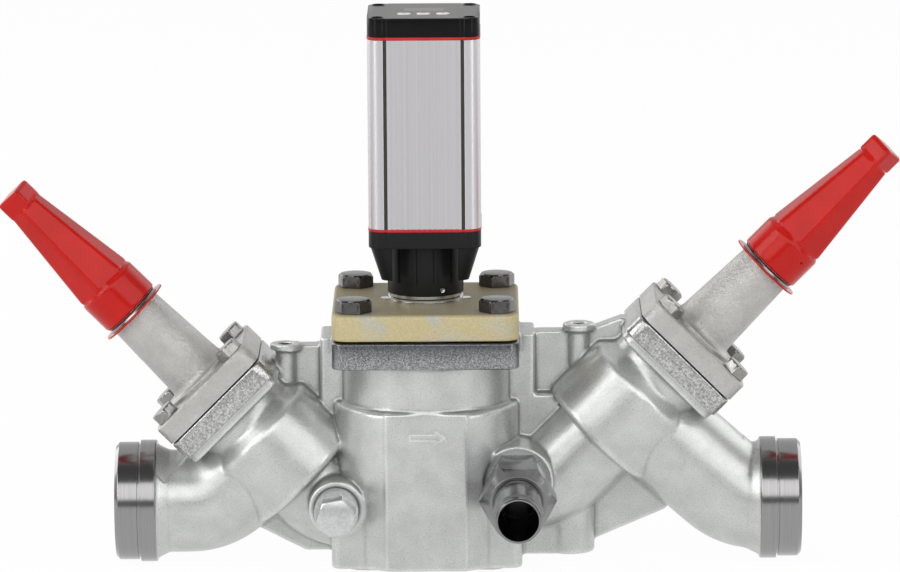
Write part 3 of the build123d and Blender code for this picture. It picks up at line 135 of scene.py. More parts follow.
# Flow arrow on the front pad
pad_face_y = -64.0 * MM
arrow_centre = (1.5 * MM, 107.0 * MM)
arrow_half_length = 14.0 * MM
arrow_neck = 5.0 * MM
arrow_barb = 5.7 * MM
arrow_shaft_half = 2.75 * MM
arrow_tip_mitre = 1.9
arrow_barb_mitre = 1.6
arrow_line = 1.0 * MM
arrow_draft = 0.15 * MM
arrow_rise = 0.9 * MM
arrow_sink = 0.3 * MM

# Weld ends
weld_radius = 44.45 * MM
weld_bore_radius = 38.95 * MM
weld_length = 17.0 * MM
weld_bevel = 2.5 * MM
weld_bevel_round = 1.2 * MM
weld_edge_round = 0.3 * MM
groove_width = 1.6 * MM
groove_depth = 1.8 * MM
ring_radius = 46.0 * MM
ring_length = 12.5 * MM
ring_back_round = 1.6 * MM
ring_depth = weld_length + groove_width + ring_length

# Flanges of the body
stop_flange_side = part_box("inlet_bonnet")[1].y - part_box("inlet_bonnet")[0].y
stop_flange_thickness = 16.0 * MM
stop_flange_hole = 36.0 * MM
stop_flange_reach = 80.0 * MM
control_flange_side = 139.5 * MM
control_flange_thickness = 20.0 * MM
control_flange_hole = 47.0 * MM
control_flange_margin = 0.3 * MM
flange_corner = 10.0 * MM
flange_low_edge = 1.2 * MM
flange_high_edge = 1.6 * MM

# Control valve's cover
cover_corner_radius = 12.0 * MM
cover_low_edge = 1.4 * MM
cover_high_edge = 3.0 * MM
# Depths of the painted shade on the cover's top and under the flange's joint face
cover_shade_depth = 2.0 * MM
flange_shade_gap = 3.0 * MM
spigot_radius = 44.9 * MM
tube_clearance = 0.1 * MM
bolt_clearance = 0.3 * MM

# Bolts: the turns are in degrees, one for each corner
corner_signs = ((-1, -1), (1, -1), (1, 1), (-1, 1))
cover_bolt = {
    "spacing": 107.0 * MM,
    "flats": 24.0 * MM,
    "height": 10.0 * MM,
    "radius": 8.0 * MM,
    "turns": (22, 42, 44, 14),
}
bonnet_bolt = {
    "spacing": 67.5 * MM,
    "flats": 18.0 * MM,
    "height": 8.0 * MM,
    "radius": 6.0 * MM,
    "turns": (12, -8, 4, 22),
}
shank_overlap = 0.1 * MM
bonnet_face = 16.5 * MM
bonnet_bolt_depth = bonnet_face + stop_flange_thickness - 1.0 * MM

# Bolt head's outline: shares of its height, and its largest radius in shares of its flats
hexagon_corner = 0.5 / cos(pi / 6)
head_outline = (
    (0, 0.475),
    (0.04, 0.475),
    (0.04, hexagon_corner),
    (0.8, hexagon_corner),
    (0.9, 0.535),
    (1, 0.485),
    (1.02, 0.44),
)

# Seal caps, turned on their threads
cap_turns = {"inlet": 110, "outlet": 36}
cap_voxel = 0.6 * MM
cap_rounding_steps = 18

# Actuator
actuator_side = 84.0 * MM
profile_corner = 11.0 * MM
groove_centre = 28.8 * MM
groove_half = 1.3 * MM
groove_margin = 0.1 * MM
groove_from = 0.2 * MM
groove_to = 2.4 * MM
cover_groove_depth = 0.9 * MM
cover_groove_half = 2.2 * MM
gasket_proud = 0.3 * MM
gasket_inner_side = 60.0 * MM

# Actuator's foot
neck_radius = 28.5 * MM
neck_lift = 2.6 * MM
neck_edge = 0.6 * MM
tube_radius = 17.5 * MM
ring_outer = 29.0 * MM
ring_collar = neck_radius - 0.2 * MM
ring_throat = neck_radius - 1.4 * MM
ring_bore = tube_radius - 0.4 * MM
ring_overlap = 0.3 * MM
lug_half = 4.5 * MM
lug_root = 3.0 * MM
set_screw_radius = 2.5 * MM
set_screw_turns = (28, 148, 268)
set_screw_clearance = 0.4 * MM
set_screw_point = 0.5 * MM
set_screw_sunk = 0.6 * MM
socket_depth = 1.5 * MM
band_height = 12.5 * MM
band_low_edge = 0.8 * MM
band_high_edge = 0.3 * MM
post_height = 25.5 * MM
post_foot_side = 65.5 * MM
post_head_side = actuator_side - 2.0 * MM
post_corner = 8.0 * MM
post_gap = 49.0 * MM
rib_count = 12
rib_half = 0.9 * MM
rib_proud = 1.3 * MM
rib_root = 2.0 * MM
rib_drop = 4.0 * MM
magnet_clearance = 1.5 * MM
magnet_drop = 2.0 * MM

# Lid and keys
lid_hollow_side = 62.5 * MM
lid_hollow_corner = 4.0 * MM
lid_plate = 4.0 * MM
lid_low_edge = 0.3 * MM
lid_high_edge = 0.5 * MM
cover_screw_spacing = 68.5 * MM
recess_radius = 4.2 * MM
recess_depth = 5.0 * MM
rim_gap = 0.1 * MM
rim_crest = 0.6 * MM
rim_fall = 0.2 * MM
rim_rise = 0.35 * MM
label_width = 51.0 * MM
label_length = 80.0 * MM
label_corner = 0.03
label_sink = 0.05 * MM
label_rise = 0.15 * MM
glass_rise = 0.2 * MM
window_corner = 0.1
glass_corner = 0.06
button_length = 10.0 * MM
button_width = 6.0 * MM
button_gap = 0.5 * MM
button_edge = 0.6 * MM
button_head = 4.0 * MM
button_flange = 1.5 * MM
stem_step = 1.0 * MM
mark_sink = 0.2 * MM
mark_rise = 0.06 * MM
mark_arrow = ((-1.5, -0.6), (1.5, -0.6), (0, 0.9))
mark_bar = ((-1.6, -0.7), (1.6, -0.7), (1.6, 0.7), (-1.6, 0.7))


def add_node(tree, kind, inputs=(), operation=None):
    """A shader node, with its inputs set by name or number."""
    node = tree.nodes.new("ShaderNode" + kind)
    if operation:
        node.operation = operation
    for socket, value in dict(inputs).items():
        node.inputs[socket].default_value = value
    return node


def grey(shade):
    """A colour without a hue."""
    return (shade, shade, shade)


def shaded(color, share):
    """A colour with its parts multiplied, at most one."""
    return [min(1, part * share) for part in color]


def principled(name, color, metallic=0.0, roughness=0.5, specular=0.5):
    """A node material and its shader."""
    material = bpy.data.materials.new(name)
    material.use_nodes = True
    shader = material.node_tree.nodes["Principled BSDF"]
    values = {"Metallic": metallic, "Roughness": roughness, "Specular IOR Level": specular}
    for socket, value in values.items():
        shader.inputs[socket].default_value = value
    shader.inputs["Base Color"].default_value = (*color, 1)
    return material, shader


def link(output, node, socket):
    """Feed an output into a node of the same tree."""
    node.id_data.links.new(output, node.inputs[socket])


def noise(shader, scale, detail=3.0, roughness=0.5, stretch=(1, 1, 1)):
    """Noise over the object's own coordinates, in repeats per metre."""
    tree = shader.id_data
    place = add_node(tree, "TexCoord")
    mapping = add_node(tree, "Mapping", {"Scale": stretch})
    values = {"Scale": scale, "Detail": detail, "Roughness": roughness}
    texture = add_node(tree, "TexNoise", values)
    link(place.outputs["Object"], mapping, "Vector")
    link(mapping.outputs["Vector"], texture, "Vector")
    return texture.outputs["Fac"]


def ramp(value, low, high, low_at=0.35, high_at=0.65):
    """Two colours over a value."""
    blend = add_node(value.id_data, "ValToRGB")
    stops = blend.color_ramp.elements
    for stop, place, color in zip(stops, (low_at, high_at), (low, high)):
        stop.position = place
        stop.color = (*color, 1)
    link(value, blend, "Fac")
    return blend.outputs["Color"]


def spread(value, low, high, low_at=0.3, high_at=0.7):
    """A value mapped to a range."""
    values = {"From Min": low_at, "From Max": high_at, "To Min": low, "To Max": high}
    span = add_node(value.id_data, "MapRange", values)
    link(value, span, "Value")
    return span.outputs["Result"]


def bump(shader, value, height, strength=1.0, under=None):
    """Surface relief of a height in metres."""
    relief = add_node(shader.id_data, "Bump", {"Distance": height, "Strength": strength})
    link(value, relief, "Height")
    if under is not None:
        link(under, relief, "Normal")
    link(relief.outputs["Normal"], shader, "Normal")
    return relief.outputs["Normal"]


def both(kind, operation, one, other):
    """The outcome of an operation on two values or colours."""
    node = add_node(one.id_data, kind, operation=operation)
    link(one, node, 0)
    link(other, node, 1)
    return node.outputs[0]


def times(one, other):
    """Two colours multiplied."""
    return both("VectorMath", "MULTIPLY", one, other)


def either(one, other):
    """The larger of two values."""
    return both("Math", "MAXIMUM", one, other)


def worn_and_shaded(shader, dirt_and_shade, base, bright):
    """Colour over the mesh's own wear and shade: dirt and painted shade in its hollows, worn bright
    metal and painted highlight on its edges.
    """
    wear_and_shade_value = add_node(shader.id_data, "Attribute")
    wear_and_shade_value.attribute_name = "wear_and_shade"
    colour = ramp(wear_and_shade_value.outputs["Fac"], dirt_and_shade, bright, 0.1, 0.9)
    stops = colour.node.color_ramp.elements
    for place in (0.4, 0.6):
        stops.new(place).color = (*base, 1)
    return colour


def cast_metal(name, base, roughness, grain, metallic, has_wear_and_shade=False):
    """Coated casting: mottled, finely grained and a little sparkling."""
    material, shader = principled(name, base, metallic, roughness)
    mottle = ramp(noise(shader, 60, detail=5), grey(0.88), grey(1))
    fleck = ramp(noise(shader, 1300, detail=2), grey(0.95), grey(1.08))
    if has_wear_and_shade:
        # Dirt and painted shade in hollows, worn metal and painted highlight on edges
        colour = worn_and_shaded(shader, shaded(base, 0.74), base, shaded(base, 1.2))
    else:
        colour = ramp(noise(shader, 90, detail=4), shaded(base, 0.94), base)
    link(times(times(colour, mottle), fleck), shader, "Base Color")
    sparkle = noise(shader, 1600, detail=1)
    link(spread(sparkle, roughness - 0.08, roughness + 0.08), shader, "Roughness")
    rough_skin = bump(shader, noise(shader, 260, detail=4, roughness=0.6), grain * 2)
    bump(shader, noise(shader, 1100, detail=2), grain, under=rough_skin)
    return material


def machined_metal(name, dark, light, roughness, scale, depth=0.03 * MM):
    """Bright machined face under a thin mottled plating."""
    material, shader = principled(name, light, 0.9, roughness)
    speckle = noise(shader, scale, detail=5, roughness=0.7)
    cloud = ramp(noise(shader, 45, detail=2), grey(0.88), grey(1))
    plating = ramp(speckle, dark, light, 0.36, 0.62)
    link(times(plating, cloud), shader, "Base Color")
    link(spread(speckle, roughness + 0.08, roughness), shader, "Roughness")
    bump(shader, noise(shader, scale, detail=3), depth)
    return material


def coordinate(tree, kind, axis):
    """One axis of a kind of texture coordinates."""
    place = add_node(tree, "TexCoord")
    split = add_node(tree, "SeparateXYZ")
    link(place.outputs[kind], split, 0)
    return split.outputs[axis]


def painted_shade_towards(material, low, high, shade):
    """Painted shade towards a height of the object, over what colours it already."""
    shader = material.node_tree.nodes["Principled BSDF"]
    colour = shader.inputs["Base Color"].links[0].from_socket
    rise = spread(coordinate(material.node_tree, "Object", "Z"), 0, 1, low, high)
    painted_shade = ramp(rise, grey(1), (shade, shade, shade * 1.06), 0, 1)
    link(times(colour, painted_shade), shader, "Base Color")


def turned_metal(name, color, roughness, axis_stretch):
    """Lathe turned steel: fine lines around the axis."""
    material, shader = principled(name, color, 1.0, roughness)
    lines = noise(shader, 1.0, detail=4, roughness=0.7, stretch=axis_stretch)
    link(ramp(lines, shaded(color, 0.82), color), shader, "Base Color")
    link(spread(lines, roughness + 0.08, roughness - 0.04), shader, "Roughness")
    bump(shader, lines, 0.015 * MM, 0.5)
    return material


def plated_cover(name):
    """Yellow passivated zinc, worn to grey in patches."""
    gold = (0.47, 0.405, 0.235)
    worn_grey = (0.41, 0.405, 0.345)
    material, shader = principled(name, gold, 0.12, 0.5, 0.12)
    patches = noise(shader, 30, detail=6, roughness=0.62)
    colour = ramp(patches, worn_grey, gold, 0.36, 0.5)
    fleck = ramp(noise(shader, 800, detail=3), grey(0.88), grey(1.06))
    link(times(colour, fleck), shader, "Base Color")
    link(spread(noise(shader, 900, detail=2), 0.4, 0.56), shader, "Roughness")
    bump(shader, noise(shader, 420, detail=4), 0.1 * MM)
    return material


def moulded_plastic(name, color, roughness, grain, specular=0.5):
    """Moulded plastic with a fine grain."""
    material, shader = principled(name, color, 0.0, roughness, specular)
    mottle = ramp(noise(shader, 45, detail=3), shaded(color, 0.88), color)
    link(mottle, shader, "Base Color")
    bump(shader, noise(shader, 2200, detail=2), grain)
    return material


def extruded_aluminium(name):
    """Anodised aluminium with fine lines along the extrusion."""
    bright = (0.58, 0.57, 0.585)
    material, shader = principled(name, bright, 0.95, 0.26)
    lines = noise(shader, 1.0, detail=4, roughness=0.7, stretch=(1100, 1100, 1.5))
    link(ramp(lines, (0.51, 0.50, 0.515), bright), shader, "Base Color")
    link(spread(lines, 0.38, 0.28), shader, "Roughness")
    bump(shader, lines, 0.012 * MM)
    return material


# Cast and machined skins of the body
# Lighter copy of the casting for the flow arrow: painted highlight
arrow_highlight_casting = cast_metal("arrow_highlight_casting", (0.7, 0.71, 0.7), 0.28, 0.02 * MM, 0.7)
# The casting carries dirt and painted shade in its hollows, worn metal and painted highlight on its
# edges
casting = cast_metal("casting", (0.55, 0.56, 0.55), 0.33, 0.05 * MM, 0.7, has_wear_and_shade=True)
neck_casting = cast_metal("neck_casting", (0.48, 0.475, 0.455), 0.38, 0.4 * MM, 0.65)
flange_face = machined_metal("flange_face", (0.10, 0.108, 0.112), (0.46, 0.47, 0.47), 0.2, 900)
stop_flange_face = machined_metal(
    "stop_flange_face", (0.24, 0.245, 0.24), (0.66, 0.66, 0.65), 0.22, 700
)
cover_zinc = plated_cover("cover_zinc")

# Steel and aluminium
bolt_steel = machined_metal(
    "bolt_steel", (0.08, 0.078, 0.075), (0.12, 0.117, 0.112), 0.16, 300, 0.004 * MM
)
bonnet_bolt_steel = machined_metal(
    "bonnet_bolt_steel", (0.27, 0.265, 0.25), (0.34, 0.335, 0.32), 0.18, 300, 0.004 * MM
)
plug_steel = machined_metal("plug_steel", (0.52, 0.535, 0.53), (0.68, 0.695, 0.69), 0.28, 500)
ring_steel = turned_metal("ring_steel", (0.33, 0.325, 0.325), 0.17, (2600, 8, 8))
nipple_steel = turned_metal("nipple_steel", (0.25, 0.25, 0.255), 0.18, (8, 1800, 8))
bright_steel = turned_metal("bright_steel", (0.66, 0.66, 0.64), 0.18, (60, 60, 2400))
stainless = turned_metal("stainless", (0.55, 0.55, 0.54), 0.25, (900, 900, 900))
washer_steel = turned_metal("washer_steel", (0.3, 0.29, 0.28), 0.2, (900, 900, 900))
aluminium = extruded_aluminium("aluminium")

# Plastics, seals and electric parts
cap_red = moulded_plastic("cap_red", (0.45, 0.009, 0.006), 0.17, 0.002 * MM, 0.22)
black_plastic = moulded_plastic("black_plastic", grey(0.004), 0.2, 0.004 * MM, 0.13)
base_plastic = moulded_plastic("base_plastic", grey(0.011), 0.38, 0.02 * MM, 0.15)
label_plastic = moulded_plastic("label_plastic", (0.1, 0.098, 0.094), 0.36, 0.01 * MM)
gasket_red = moulded_plastic("gasket_red", (0.45, 0.022, 0.018), 0.45, 0.01 * MM, 0.25)
fibre = moulded_plastic("fibre", grey(0.02), 0.8, 0.05 * MM)
# Painted shade in the actuator profile's grooves
groove_painted_shade = moulded_plastic("groove_painted_shade", (0.085, 0.08, 0.072), 0.6, 0.02 * MM, 0.2)
display_strip = moulded_plastic("display_strip", (0.17, 0.165, 0.12), 0.3, 0.005 * MM, 0.3)
button_white = moulded_plastic("button_white", (0.78, 0.78, 0.76), 0.35, 0.004 * MM)
button_mark = moulded_plastic("button_mark", grey(0.03), 0.5, 0.01 * MM)
pale_plastic = moulded_plastic("pale_plastic", (0.7, 0.7, 0.66), 0.4, 0.01 * MM)
board_green = moulded_plastic("board_green", (0.02, 0.12, 0.05), 0.4, 0.01 * MM)
magnet_dark = moulded_plastic("magnet_dark", (0.05, 0.05, 0.055), 0.5, 0.03 * MM)

# Painted shade: the control valve's flange is darker under its joint face, and its cover on top
flange_shade_low = control_top - 0.75 * control_flange_thickness
painted_shade_towards(flange_face, flange_shade_low, control_top - flange_shade_gap, 0.5)
cover_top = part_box("control_cover")[1].z
painted_shade_towards(cover_zinc, cover_top - cover_shade_depth, cover_top, 0.62)


def outward(azimuth, elevation):
    """Direction from the object, by degrees round from the front and degrees up."""
    a = radians(azimuth)
    e = radians(elevation)
    return Vector((sin(a) * cos(e), -cos(a) * cos(e), sin(e)))


def axes_at(origin, direction, across):
    """Matrix with Z along a direction and X across it."""
    z = Vector(direction).normalized()
    x = Vector(across).normalized()
    y = z.cross(x)
    matrix = Matrix((x, y, z)).transposed().to_4x4()
    matrix.translation = Vector(origin)
    return matrix


def upright_at(x, y, z):
    """Axes at a point, with Z up."""
    return axes_at((x, y, z), (0, 0, 1), (1, 0, 0))


def valve_axes(side):
    """Axes on a stop valve's joint face, with Z out along the spindle."""
    joint = joints[side + "_spindle_turn"]
    x, _, z = joint["axis"]
    return axes_at(joint["pos_m"], joint["axis"], (z, 0, -x))


valve_frames = {side: valve_axes(side) for side in ("inlet", "outlet")}
upright = upright_at(0, 0, 0)


def new_object(name, data):
    """An object in the scene."""
    item = bpy.data.objects.new(name, data)
    bpy.context.scene.collection.objects.link(item)
    return item


def link_piece(name, mesh, material, body, slot, replaced=()):
    """Put a finished mesh in the scene as a piece of the object."""
    piece = new_object(name, mesh)
    mesh.materials.clear()
    mesh.materials.append(material)
    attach(piece, body)
    if replaced:
        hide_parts(*replaced)
    return piece


def stand_in(node, mesh, material):
    """A finished piece that is shown instead of a CAD node, on its body."""
    body = nodes[node]["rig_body"]
    return link_piece(node + "_finish", mesh, material, body, slots[node], [node])


def add_detail(name, mesh, material, node, slot_node=None):
    """A finished piece that rides with a CAD node and stands in for none."""
    link_piece(name, mesh, material, nodes[node]["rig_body"], slots[slot_node or node])


def shade_by_angle(mesh, degrees=35.0):
    """Smooth shading with the sharp edges kept."""
    mesh.shade_smooth()
    mesh.set_sharp_from_angle(angle=radians(degrees))


def mesh_from(name, points, faces):
    """A closed mesh with its normals turned outward."""
    mesh = bpy.data.meshes.new(name)
    mesh.from_pydata([tuple(point) for point in points], [], faces)
    build = bmesh.new()
    build.from_mesh(mesh)
    bmesh.ops.remove_doubles(build, verts=build.verts, dist=1e-6)
    bmesh.ops.recalc_face_normals(build, faces=build.faces)
    build.to_mesh(mesh)
    build.free()
    shade_by_angle(mesh)
    return mesh


def rounded_edges(piece, width, segments=2):
    """Eased edges on a finished piece."""
    rounding = piece.modifiers.new("rounding", "BEVEL")
    rounding.width = width
    rounding.segments = segments
    rounding.limit_method = "ANGLE"
    rounding.angle_limit = radians(32)


def dress(node, material, bevel=0, segments=2):
    """Stand a copy in for a CAD node, with its edges eased if a width is given."""
    mesh = nodes[node].data.copy()
    build = bmesh.new()
    build.from_mesh(mesh)
    bmesh.ops.remove_doubles(build, verts=build.verts, dist=2e-6)
    bmesh.ops.dissolve_limit(
        build, angle_limit=radians(0.5), verts=build.verts, edges=build.edges
    )
    build.to_mesh(mesh)
    build.free()
    piece = stand_in(node, mesh, material)
    if bevel:
        rounded_edges(piece, bevel, segments)
    shade_by_angle(mesh)
    return piece


def fillet_outline(corners, radii, steps=5):
    """An open outline with its inner corners rounded."""
    rounded = [Vector(corners[0])]
    for before, corner, after, radius in zip(corners, corners[1:], corners[2:], radii):
        corner = Vector(corner)
        arrive = (Vector(before) - corner).normalized()
        leave = (Vector(after) - corner).normalized()
        half = arrive.angle(leave) / 2
        if radius == 0:
            rounded.append(corner)
            continue
        reach = radius / tan(half)
        start = corner + arrive * reach
        stop = corner + leave * reach
        centre = corner + (arrive + leave).normalized() * (radius / sin(half))
        for step in range(steps + 1):
            share = step / steps
            ray = (start - centre).lerp(stop - centre, share).normalized()
            rounded.append(centre + ray * radius)
    rounded.append(Vector(corners[-1]))
    return rounded


def groove_points(side, depth, steps=3):
    """Points across the profile's two grooves, carried on in one side of a square."""
    for middle in (-groove_centre, groove_centre):
        for step in range(-steps, steps + 1):
            sunk = depth * cos(step / steps * pi / 2)
            yield Vector((side / 2 - sunk, middle + cover_groove_half * step / steps))


def rounded_square(side, corner, depth=0, steps=8):
    """Loop of a square with round corners and, given a depth, two grooves in each side."""
    quarter = list(groove_points(side, depth)) if depth else []
    inset = side / 2 - corner
    for step in range(steps + 1):
        spoke = step / steps * pi / 2
        quarter.append(Vector((inset + corner * cos(spoke), inset + corner * sin(spoke))))
    turns = [Matrix.Rotation(turn * pi / 2, 2) for turn in range(4)]
    return [turn @ spot for turn in turns for spot in quarter]


def round_loop(radius, steps=48):
    """Loop of a circle, in its own plane."""
    spokes = [2 * pi * step / steps for step in range(steps)]
    return [radius * Vector((cos(spoke), sin(spoke))) for spoke in spokes]


def hex_loop(flats, limit, turn, steps=72):
    """Loop of a hexagon whose corners are turned off at a limiting radius."""
    loop = []
    for step in range(steps):
        spoke = 2 * pi * step / steps
        off_flat = (spoke + pi / 6) % (pi / 3) - pi / 6
        radius = min(flats / 2 / cos(off_flat), limit)
        loop.append(radius * Vector((cos(spoke + turn), sin(spoke + turn))))
    return loop


def slot_loop(length, width, steps=12):
    """Loop of a slot with round ends."""
    loop = []
    for end in (1, -1):
        for step in range(steps + 1):
            spoke = -pi / 2 + pi * step / steps
            spot = Vector(((length - width) / 2 + width / 2 * cos(spoke), width / 2 * sin(spoke)))
            loop.append(end * spot)
    return loop


def shifted(loop, x, y):
    """A loop moved in its plane."""
    return [spot + Vector((x, y)) for spot in loop]


def at_corners(loop, spacing):
    """A loop at each of a square's corners."""
    return [shifted(loop, x * spacing / 2, y * spacing / 2) for x, y in corner_signs]


def quads(rings, count, cycle):
    """Faces between rings of points, in a cycle or from the first ring to the last."""
    faces = []
    for ring in range(rings if cycle else rings - 1):
        after = (ring + 1) % rings
        for index in range(count):
            following = (index + 1) % count
            corners = ((ring, index), (ring, following), (after, following), (after, index))
            faces.append([row * count + place for row, place in corners])
    return faces


def lathe(name, outline, matrix, steps=96):
    """Turn a closed outline of (radius, height) points about a frame's Z axis."""
    points = []
    for turn in range(steps):
        angle = 2 * pi * turn / steps
        for radius, height in outline:
            points.append(matrix @ Vector((radius * cos(angle), radius * sin(angle), height)))
    return mesh_from(name, points, quads(steps, len(outline), True))


def stack(name, sections, matrix=upright, cycle=False):
    """Skin (loop, height) sections: both ends closed, or the last joined to the first."""
    count = len(sections[0][0])
    points = [matrix @ Vector((x, y, height)) for loop, height in sections for x, y in loop]
    faces = quads(len(sections), count, cycle)
    if not cycle:
        faces.append(tuple(range(count)))
        faces.append(tuple(range(len(points) - count, len(points))))
    return mesh_from(name, points, faces)


def column(loop, low, high, matrix=upright):
    """A straight bar of a loop's section."""
    return stack("column", [(loop, low), (loop, high)], matrix)


def cutter(loop, low, high):
    """A bar that runs past both of its ends."""
    return column(loop, low - overlap, high + overlap)


def eased(make_loop, low, high, low_edge, high_edge, steps=4):
    """Sections of a plate whose lower and upper edges are rounded."""
    loops = []
    angles = [level / steps * pi / 2 for level in range(steps + 1)]
    for angle in angles:
        loops.append((make_loop(low_edge * (1 - sin(angle))), low + low_edge * (1 - cos(angle))))
    for angle in angles:
        loops.append((make_loop(high_edge * (1 - cos(angle))), high - high_edge * (1 - sin(angle))))
    return loops


def eased_square(side, corner, *heights_and_edges, depth=0, steps=4):
    """Sections of a square plate with round corners and rounded edges, grooved or plain."""
    return eased(
        lambda inset: rounded_square(side - 2 * inset, corner - inset, depth),
        *heights_and_edges,
        steps,
    )


def joined(name, meshes, degrees=35.0):
    """Several meshes as one."""
    build = bmesh.new()
    for mesh in meshes:
        build.from_mesh(mesh)
    result = bpy.data.meshes.new(name)
    build.to_mesh(result)
    build.free()
    shade_by_angle(result, degrees)
    return result


def evaluated(mesh, add_steps):
    """A mesh as modifiers leave it."""
    holder = new_object("holder", mesh)
    add_steps(holder)
    graph = bpy.context.evaluated_depsgraph_get()
    result = bpy.data.meshes.new_from_object(holder.evaluated_get(graph))
    bpy.data.objects.remove(holder)
    return result


def combined(mesh, others, operation):
    """A mesh with others cut from it or united with it."""
    tools = [new_object("combine_tool", other) for other in others]

    def add_booleans(holder):
        for tool in tools:
            step = holder.modifiers.new("combine", "BOOLEAN")
            step.operation = operation
            step.solver = "EXACT"
            step.object = tool

    result = evaluated(mesh, add_booleans)
    for tool in tools:
        bpy.data.objects.remove(tool)
    shade_by_angle(result)
    return result


def remeshed(mesh, voxel):
    """A voxel remeshed copy of a mesh."""

    def add_remesh(holder):
        remesh = holder.modifiers.new("remesh", "REMESH")
        remesh.mode = "VOXEL"
        remesh.voxel_size = voxel

    return evaluated(mesh, add_remesh)


def smoothed(points, edges, steps, share=0.5):
    """Points moved towards their neighbours' average."""
    counts = np.bincount(edges.ravel(), minlength=len(points)).astype(float)[:, None]
    for _ in range(steps):
        sums = np.zeros_like(points)
        for axis in range(3):
            sums[:, axis] = np.bincount(edges[:, 0], points[edges[:, 1], axis], len(points))
            sums[:, axis] += np.bincount(edges[:, 1], points[edges[:, 0], axis], len(points))
        points = points + share * (sums / counts - points)
    return points


def local_points(points, matrix):
    """Points in a frame's own axes."""
    inverse = np.array(matrix.inverted())
    return points @ inverse[:3, :3].T + inverse[:3, 3]


def as_array(items, attribute, width, kind=float):
    """One attribute of a mesh's points or edges, a row for each."""
    values = np.empty(len(items) * width, kind)
    items.foreach_get(attribute, values)
    return values.reshape(-1, width)


def points_and_edges(mesh):
    """A mesh's points and edges as arrays."""
    return as_array(mesh.vertices, "co", 3), as_array(mesh.edges, "vertices", 2, int)


def move_points(mesh, points):
    """A mesh's points set from an array, under smooth shading."""
    mesh.vertices.foreach_set("co", points.ravel())
    mesh.update()
    mesh.shade_smooth()


def wear_and_shade(points, edges, normals):
    """Half on flat skin, towards one on outer edges and towards nought in hollows: dirt and painted
    shade low, worn metal and painted highlight high.
    """
    averaged = smoothed(points, edges, wear_and_shade_steps)
    height = ((points - averaged) * normals).sum(axis=1)
    return np.clip(0.5 + 0.5 * height / wear_and_shade_depth, 0, 1)


def lip(matrix):
    """Cast lip under a stop valve's flange plate."""
    loop = rounded_square(stop_flange_side - 2 * lip_step, flange_corner)
    low = -stop_flange_thickness - lip_height
    return stack("lip", [(loop, low), (loop, -stop_flange_thickness + overlap)], matrix)


def on_flanges(points):
    """One on the casting's skin round the three flange plates, nought elsewhere."""
    inside = np.zeros(len(points))
    for valve in valve_frames.values():
        local = local_points(points, valve)
        near = np.hypot(local[:, 0], local[:, 1]) < stop_flange_reach
        inside[near & (local[:, 2] > -stop_flange_thickness - flange_margin)] = 1
    reach = control_flange_side / 2 + control_flange_margin
    within = (np.abs(points[:, 0]) < reach) & (np.abs(points[:, 1]) < reach)
    inside[within & (points[:, 2] > control_top - control_flange_thickness - flange_margin)] = 1
    return inside


def thinned_ends(points, on_ring):
    """Points of the weld ends drawn into the wall of the turned rings that hide them."""
    axis_y = points[:, 1]
    axis_z = points[:, 2] - port_height
    radius = np.hypot(axis_y, axis_z)
    middle = (weld_radius - groove_depth + weld_bore_radius) / 2
    tight = middle + np.clip(radius - middle, -end_wall_half, end_wall_half)
    scale = np.where(on_ring & (radius > 1e-6), tight / np.maximum(radius, 1e-6), 1.0)
    within = np.clip(points[:, 0], casting_low.x + end_inset, casting_high.x - end_inset)
    along = np.where(on_ring, within, points[:, 0])
    return np.column_stack((along, axis_y * scale, axis_z * scale + port_height))


def cast_body():
    """The casting: its corners run into each other with cast roundings."""
    lips = [lip(valve) for valve in valve_frames.values()]
    mesh = remeshed(joined("raw_casting", [nodes["valve_body"].data] + lips), voxel_size)
    points, edges = points_and_edges(mesh)
    normals = as_array(mesh.vertices, "normal", 3)
    shrink = on_flanges(points)
    from_end = np.minimum(points[:, 0] - casting_low.x, casting_high.x - points[:, 0])
    on_ring = from_end < ring_depth - end_inset
    points = smoothed(points, edges, cast_rounding_steps)
    # Mask of dirt and painted shade in hollows, worn metal and painted highlight on edges
    wear_and_shade_by = wear_and_shade(points, edges, normals)
    points = points - normals * (shrink * machined_shrink)[:, None]
    mesh.attributes.new("wear_and_shade", "FLOAT", "POINT").data.foreach_set("value", wear_and_shade_by)
    move_points(mesh, thinned_ends(points, on_ring))
    link_piece("body_casting", mesh, casting, "station", "casting", ["valve_body"])


def weld_end(name, mount):
    """Turned weld end: bevel, lip, groove and back ring."""
    side = -1 if mounts[mount]["pos_m"][0] < 0 else 1
    face_x = casting_low.x if side < 0 else casting_high.x
    matrix = axes_at((face_x, 0, port_height), (side, 0, 0), (0, 1, 0))
    corners = [
        (weld_bore_radius, 0),
        (weld_radius - weld_bevel, 0),
        (weld_radius, -weld_bevel),
        (weld_radius, -weld_length),
        (weld_radius - groove_depth, -weld_length),
        (weld_radius - groove_depth, -weld_length - groove_width),
        (ring_radius, -weld_length - groove_width),
        (ring_radius, -ring_depth),
        (weld_radius - groove_depth, -ring_depth),
    ]
    edge = weld_edge_round
    outline = fillet_outline(corners, [edge, weld_bevel_round, edge, 0, 0, edge, ring_back_round])
    outline.append(Vector((weld_bore_radius, -ring_depth)))
    link_piece(name, lathe(name, outline, matrix, 160), ring_steel, "station", "casting")


def body_flange(name, matrix, top, thickness, side, hole, material):
    """Flange plate of the body, with round corners, eased edges and a round hole."""
    low = top - thickness
    loops = eased_square(side, flange_corner, low, top, flange_low_edge, flange_high_edge)
    circle = [spot.normalized() * hole for spot in rounded_square(side, flange_corner)]
    mesh = stack(name, loops + [(circle, top), (circle, low)], matrix, cycle=True)
    link_piece(name, mesh, material, "station", "casting")


